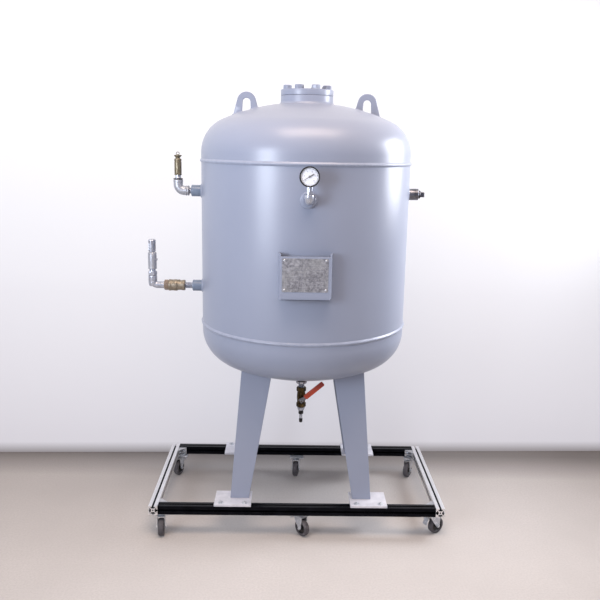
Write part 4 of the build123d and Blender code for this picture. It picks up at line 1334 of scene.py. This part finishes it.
class RECEIVER_OT_drain(Operator):
    """Drain valve, lever with its sleeve, and the tail below"""

    bl_idname = "receiver.drain"
    bl_label = "Drain"

    def execute(self, context):
        self.valve()
        self.lever()
        self.tail()
        return {"FINISHED"}

    def valve(self):
        """Ball valve: two hexagon ends, a swollen middle and the gland of its stem."""
        low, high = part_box("drain_valve")
        stem = Vector(JOINTS["drain_lever_turn"]["pos_m"])
        foot = on_axis(AXIS.x, low.z)
        tall = high.z - low.z
        swell = np.linspace(0, 1, 17)
        middle = np.stack([0.0172 + 0.0030 * np.sin(pi * swell), 0.020 + swell * (tall - 0.040)], 1)
        body = np.concatenate([[(0, 0.018), (0.0172, 0.018)], middle,
                               [(0.0172, tall - 0.018), (0, tall - 0.018)]])
        gland_axis = on_axis(AXIS.x, stem.z)
        gland = hex_grid(gland_axis + FRONT * 0.016, FRONT, 0.017, 0.014)
        shaft = rounded([(0, 0), (0.0040, 0), (0.0040, 0.0435), (0, 0.0440)], 0.0006)
        grids = [hex_grid(foot, UP, 0.0385, 0.022), hex_grid(foot + UP * (tall - 0.022), UP, 0.0385, 0.022),
                 lathe(body, foot, UP, 96), gland, lathe(shaft, gland_axis, FRONT, 32)]
        piece("drain_valve_skin", grids, "drain_brass", ("drain_valve",))
        nut_at = gland_axis + FRONT * (AXIS.y - stem.y + 0.0022)
        piece("lever_nut", [hex_grid(nut_at, FRONT, 0.010, 0.0045)], "zinc", slot="", body="lever")

    def lever(self):
        """Pressed lever and its dipped sleeve, both as rounded sections carried along the lever."""
        stem = np.array(JOINTS["drain_lever_turn"]["pos_m"])
        plate_y = centre("drain_lever").y
        pivot = np.array((stem[0], plate_y, stem[2]))
        lift = radians(JOINTS["drain_lever_turn"]["range_deg"][1])
        along = np.array((cos(lift), 0, sin(lift)))
        half = 0.011
        length = (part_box("lever_sleeve")[1].x - stem[0] - half * sin(lift)) / cos(lift) - 0.001
        s = np.linspace(0, 1, 30)
        wide = 0.0165 + 0.006 * np.exp(-((s * length) / 0.012) ** 2)
        path = pivot + along * (s * (length - 0.004) - 0.009 * (s == 0))[:, None]
        section = box_section(1.0, 0.003, 0.0006, 3)
        grid = swept(path, (0, 1, 0), section)
        centre_line = path[:, None]
        offset = grid - centre_line
        across = unit(np.cross((0, 1, 0), along))
        sideways = (offset @ across)[..., None] * across
        plate = centre_line + offset + sideways * (wide[:, None, None] - 1)
        piece("drain_lever_skin", [capped(plate)], "forged", ("drain_lever",), body="lever")
        s = np.linspace(0, 1, 40)
        long = 0.108
        start = length - long + 0.001
        path = pivot + along * (start + s * long)[:, None]
        ends = np.clip(np.minimum(s, 1 - s) * long / 0.006, 0, 1)
        fade = np.sqrt(np.clip(1 - (1 - ends) ** 2, 0, 1)) * 0.25 + 0.75
        ridge = 1 + 0.015 * np.cos(s * TURN * 9)
        sleeve = swept(path, (0, 1, 0), box_section(0.0235, 0.0088, 0.0036, 7), fade * ridge)
        piece("lever_sleeve_skin", [capped(sleeve)], "sleeve", ("lever_sleeve",), body="lever")

    def tail(self):
        """Nickelled bush, black collar, narrow hose end and its bead."""
        top = on_axis(AXIS.x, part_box("drain_tail")[1].z)
        bush = rounded([(0, 0), (0.0170, 0), (0.0170, 0.009), (0.0150, 0.010), (0.0150, 0.016), (0, 0.017)],
                       0.001)
        collar = rounded([(0, 0.016), (0.0115, 0.017), (0.0115, 0.034), (0.0095, 0.036), (0, 0.036)], 0.0012)
        pipe = rounded([(0, 0.035), (0.0070, 0.035), (0.0070, 0.058), (0, 0.058)], 0.001)
        bead = rounded([(0, 0.056), (0.0080, 0.057), (0.0085, 0.066), (0.0075, 0.0765), (0.0035, 0.0768),
                        (0.0030, 0.072), (0, 0.072)], 0.0012)
        piece("tail_bush", [lathe(bush, top, -UP, 64)], "nickel", ("drain_tail",))
        piece("tail_pipe", [lathe(pipe, top, -UP, 48)], "nickel", ("drain_tail",))
        piece("tail_collar", [lathe(collar, top, -UP, 48), lathe(bead, top, -UP, 48)], "black",
              ("drain_tail",))


class RECEIVER_OT_rails(Operator):
    """Slotted rails, corner brackets and their screws"""

    bl_idname = "receiver.rails"
    bl_label = "Rails"

    def execute(self, context):
        dressed("long_rails", "black_rail", 0.0011)
        dressed("side_rails", "bright_rail", 0.0008)
        dressed("corner_brackets", "cast", 0.0010)
        low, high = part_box("corner_brackets")
        wall = 0.0045
        reach = 0.021
        middle = (low.z + high.z) / 2
        grids = []
        for side_x, x in ((1, low.x), (-1, high.x)):
            for side_y, y in ((1, low.y), (-1, high.y)):
                inner_x = Vector((x + side_x * wall, y + side_y * reach, middle))
                inner_y = Vector((x + side_x * reach, y + side_y * wall, middle))
                grids.append(screw_grid(inner_x, RIGHT * side_x, 0.0066, 0.004, 0.0078))
                grids.append(screw_grid(inner_y, Vector((0, side_y, 0)), 0.0066, 0.004, 0.0078))
        piece("bracket_screws", grids, "zinc")
        return {"FINISHED"}


class RECEIVER_OT_casters(Operator):
    """Swivel casters: plates, forks, axle nuts and wheels"""

    bl_idname = "receiver.casters"
    bl_label = "Casters"

    def execute(self, context):
        dressed("caster_plates", "zinc", 0.0008)
        screws = []
        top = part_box("caster_plates")[1].z - 0.003
        reach = 0.026
        for name in CASTERS:
            swivel = Vector(JOINTS[f"swivel_{name}"]["pos_m"])
            for x in (-reach, reach):
                for y in (-reach, reach):
                    screws.append(screw_grid(Vector((swivel.x + x, swivel.y + y, top)), -UP, 0.005, 0.003))
            self.fork(name)
            self.wheel(name)
        piece("caster_screws", screws, "zinc")
        return {"FINISHED"}

    def fork(self, name):
        """Pressed fork with softened edges, and the heads of its axle."""
        dressed(f"fork_{name}", "zinc", 0.0010, f"caster_{name}")
        roll = JOINTS[f"roll_{name}"]
        hub = Vector(roll["pos_m"])
        axle = Vector(roll["axis"])
        grids = [hex_grid(hub + axle * side * 0.017, axle * side, 0.0125, 0.0045) for side in (-1, 1)]
        piece(f"axle_nuts_{name}", grids, "zinc", slot="", body=f"caster_{name}")

    def wheel(self, name):
        """Rubber tyre on a black centre with a raised hub.

        The tread is crowned: its radius falls by 4.5 mm times the fourth power of the way to its edge.
        """
        roll = JOINTS[f"roll_{name}"]
        hub = Vector(roll["pos_m"])
        axle = Vector(roll["axis"])
        half = 0.0125
        outer = hub.z
        way = np.linspace(-1, 1, 21)
        tread = np.stack([outer - 0.0045 * np.abs(way) ** 4, way * half * 0.98], 1)
        tyre = np.concatenate([[(0.0255, -half * 0.90), (0.0320, -half)], tread,
                               [(0.0320, half), (0.0255, half * 0.90)]])
        piece(f"tyre_{name}", [lathe(tyre, hub, axle, 96)], "tyre", (f"wheel_{name}",), wrap=True,
              body=f"roller_{name}")
        web = half * 0.45
        core = rounded([(0.0055, -half), (0.0105, -half), (0.0115, -web), (0.0235, -web),
                        (0.0262, -half * 0.86), (0.0262, half * 0.86), (0.0235, web), (0.0115, web),
                        (0.0105, half), (0.0055, half)], 0.0012, closed=True)
        piece(f"wheel_core_{name}", [lathe(core, hub, axle, 64)], "black", (f"wheel_{name}",), wrap=True,
              body=f"roller_{name}")


class RECEIVER_OT_stage(Operator):
    """Floor, wall, soft lights and the camera"""

    bl_idname = "receiver.stage"
    bl_label = "Stage"

    def execute(self, context):
        self.floor(context.scene.receiver_stage)
        self.lights(context.scene)
        self.camera(context.scene, context.scene.receiver_stage)
        context.scene.view_settings.view_transform = "Standard"
        return {"FINISHED"}

    def floor(self, sizes):
        """Floor, 30 m square, under the wheels, and a wall across it behind the frame, turned a little."""
        far = 15.0
        wall = AXIS.y + sizes.wall
        lean = far * tan(sizes.wall_turn)
        left = (AXIS.x - far, wall - lean)
        right = (AXIS.x + far, wall + lean)
        sheets = {
            "floor": [(-far, -far, 0), (far, -far, 0), (far, far, 0), (-far, far, 0)],
            "wall": [(*left, 0), (*right, 0), (*right, far), (*left, far)],
        }
        for name, corners in sheets.items():
            mesh = bpy.data.meshes.new(name)
            mesh.from_pydata(corners, [], [(0, 1, 2, 3)])
            mesh.materials.append(finish(name))
            sheet = bpy.data.objects.new(name, mesh)
            bpy.context.scene.collection.objects.link(sheet)

    def lights(self, scene):
        """Surroundings warm overhead and cool at eye level, two windows and a ceiling lamp."""
        world = bpy.data.worlds.new("studio")
        world.use_nodes = True
        tree = world.node_tree
        sky = graded(tree, height_of(tree, "Generated"), (0.05, 0.9), linear("#8792b2"), linear("#fff4ec"))
        feed(tree, tree.nodes["Background"], {"Color": sky, "Strength": 1.0})
        scene.world = world
        self.panel("window_left", (-2.0, -2.45, 1.78), (1.0, 1.35), 43, "#e8f0ff", 2.5)
        self.panel("window_right", (1.80, 0.30, 1.82), (0.85, 1.05), 27, "#f3f6ff", 1.2)
        self.panel("ceiling_lamp", (0.15, -1.3, 4.0), (2.4, 1.2), 39, "#ffe6d4", 1.1)

    def panel(self, name, spot, sides, power, colour, aim_height):
        """Rectangular lamp that looks at the vessel's axis at the given height."""
        lamp = bpy.data.lights.new(name, "AREA")
        lamp.shape = "RECTANGLE"
        lamp.size, lamp.size_y = sides
        lamp.energy = power
        lamp.color = linear(colour)[:3]
        holder = bpy.data.objects.new(name, lamp)
        holder.visible_camera = False
        holder.location = Vector(spot)
        lamp.spread = LAMP_SPREAD
        aim = on_axis(AXIS.x, aim_height) - holder.location
        holder.rotation_euler = aim.to_track_quat("-Z", "Y").to_euler()
        bpy.context.scene.collection.objects.link(holder)

    def camera(self, scene, sizes):
        """Camera at the picture's place and angles."""
        ahead = Vector((sin(sizes.yaw) * cos(sizes.pitch), cos(sizes.yaw) * cos(sizes.pitch),
                        -sin(sizes.pitch)))
        level = Vector((cos(sizes.yaw), -sin(sizes.yaw), 0))
        above = level.cross(ahead)
        side = cos(sizes.roll) * level + sin(sizes.roll) * above
        top = -sin(sizes.roll) * level + cos(sizes.roll) * above
        lens = bpy.data.cameras.new("picture_camera")
        lens.sensor_fit = "HORIZONTAL"
        lens.sensor_width = FILM_WIDTH
        lens.lens = sizes.lens
        holder = bpy.data.objects.new("picture_camera", lens)
        turn = Matrix((side, top, -ahead)).transposed()
        holder.matrix_world = Matrix.Translation(
            (AXIS.x + sizes.camera_x, AXIS.y + sizes.camera_y, sizes.camera_z)) @ turn.to_4x4()
        scene.collection.objects.link(holder)
        scene.camera = holder


GROUPS = {
    "receiver_vessel": VesselSizes,
    "receiver_bolts": BoltSizes,
    "receiver_colours": PaintColours,
    "receiver_stage": StageSizes,
}
STEPS = (
    RECEIVER_OT_vessel, RECEIVER_OT_flange, RECEIVER_OT_lugs, RECEIVER_OT_couplings, RECEIVER_OT_legs,
    RECEIVER_OT_nameplate, RECEIVER_OT_gauge, RECEIVER_OT_safety_branch, RECEIVER_OT_outlet_branch,
    RECEIVER_OT_spare_port, RECEIVER_OT_drain, RECEIVER_OT_rails, RECEIVER_OT_casters, RECEIVER_OT_stage,
)


class RECEIVER_PT_panel(Panel):
    """Lists the steps and their sizes in the sidebar"""

    bl_idname = "RECEIVER_PT_panel"
    bl_label = "Air receiver"
    bl_space_type = "VIEW_3D"
    bl_region_type = "UI"
    bl_category = "Receiver"

    def draw(self, context):
        column = self.layout.column()
        for group, kind in GROUPS.items():
            for name in kind.__annotations__:
                column.prop(getattr(context.scene, group), name)
        for step in STEPS:
            column.operator(step.bl_idname)


def register():
    """Registers the groups, steps and panel, and hangs the groups on the scene."""
    for group, kind in GROUPS.items():
        bpy.utils.register_class(kind)
        setattr(bpy.types.Scene, group, PointerProperty(type=kind))
    for step in STEPS:
        bpy.utils.register_class(step)
    bpy.utils.register_class(RECEIVER_PT_panel)


def unregister():
    """Takes everything off again."""
    bpy.utils.unregister_class(RECEIVER_PT_panel)
    for step in reversed(STEPS):
        bpy.utils.unregister_class(step)
    for group, kind in GROUPS.items():
        delattr(bpy.types.Scene, group)
        bpy.utils.unregister_class(kind)


def main():
    """Runs every step in order."""
    register()
    for step in STEPS:
        area, name = step.bl_idname.split(".")
        getattr(getattr(bpy.ops, area), name)()


if __name__ == "__main__":
    main()
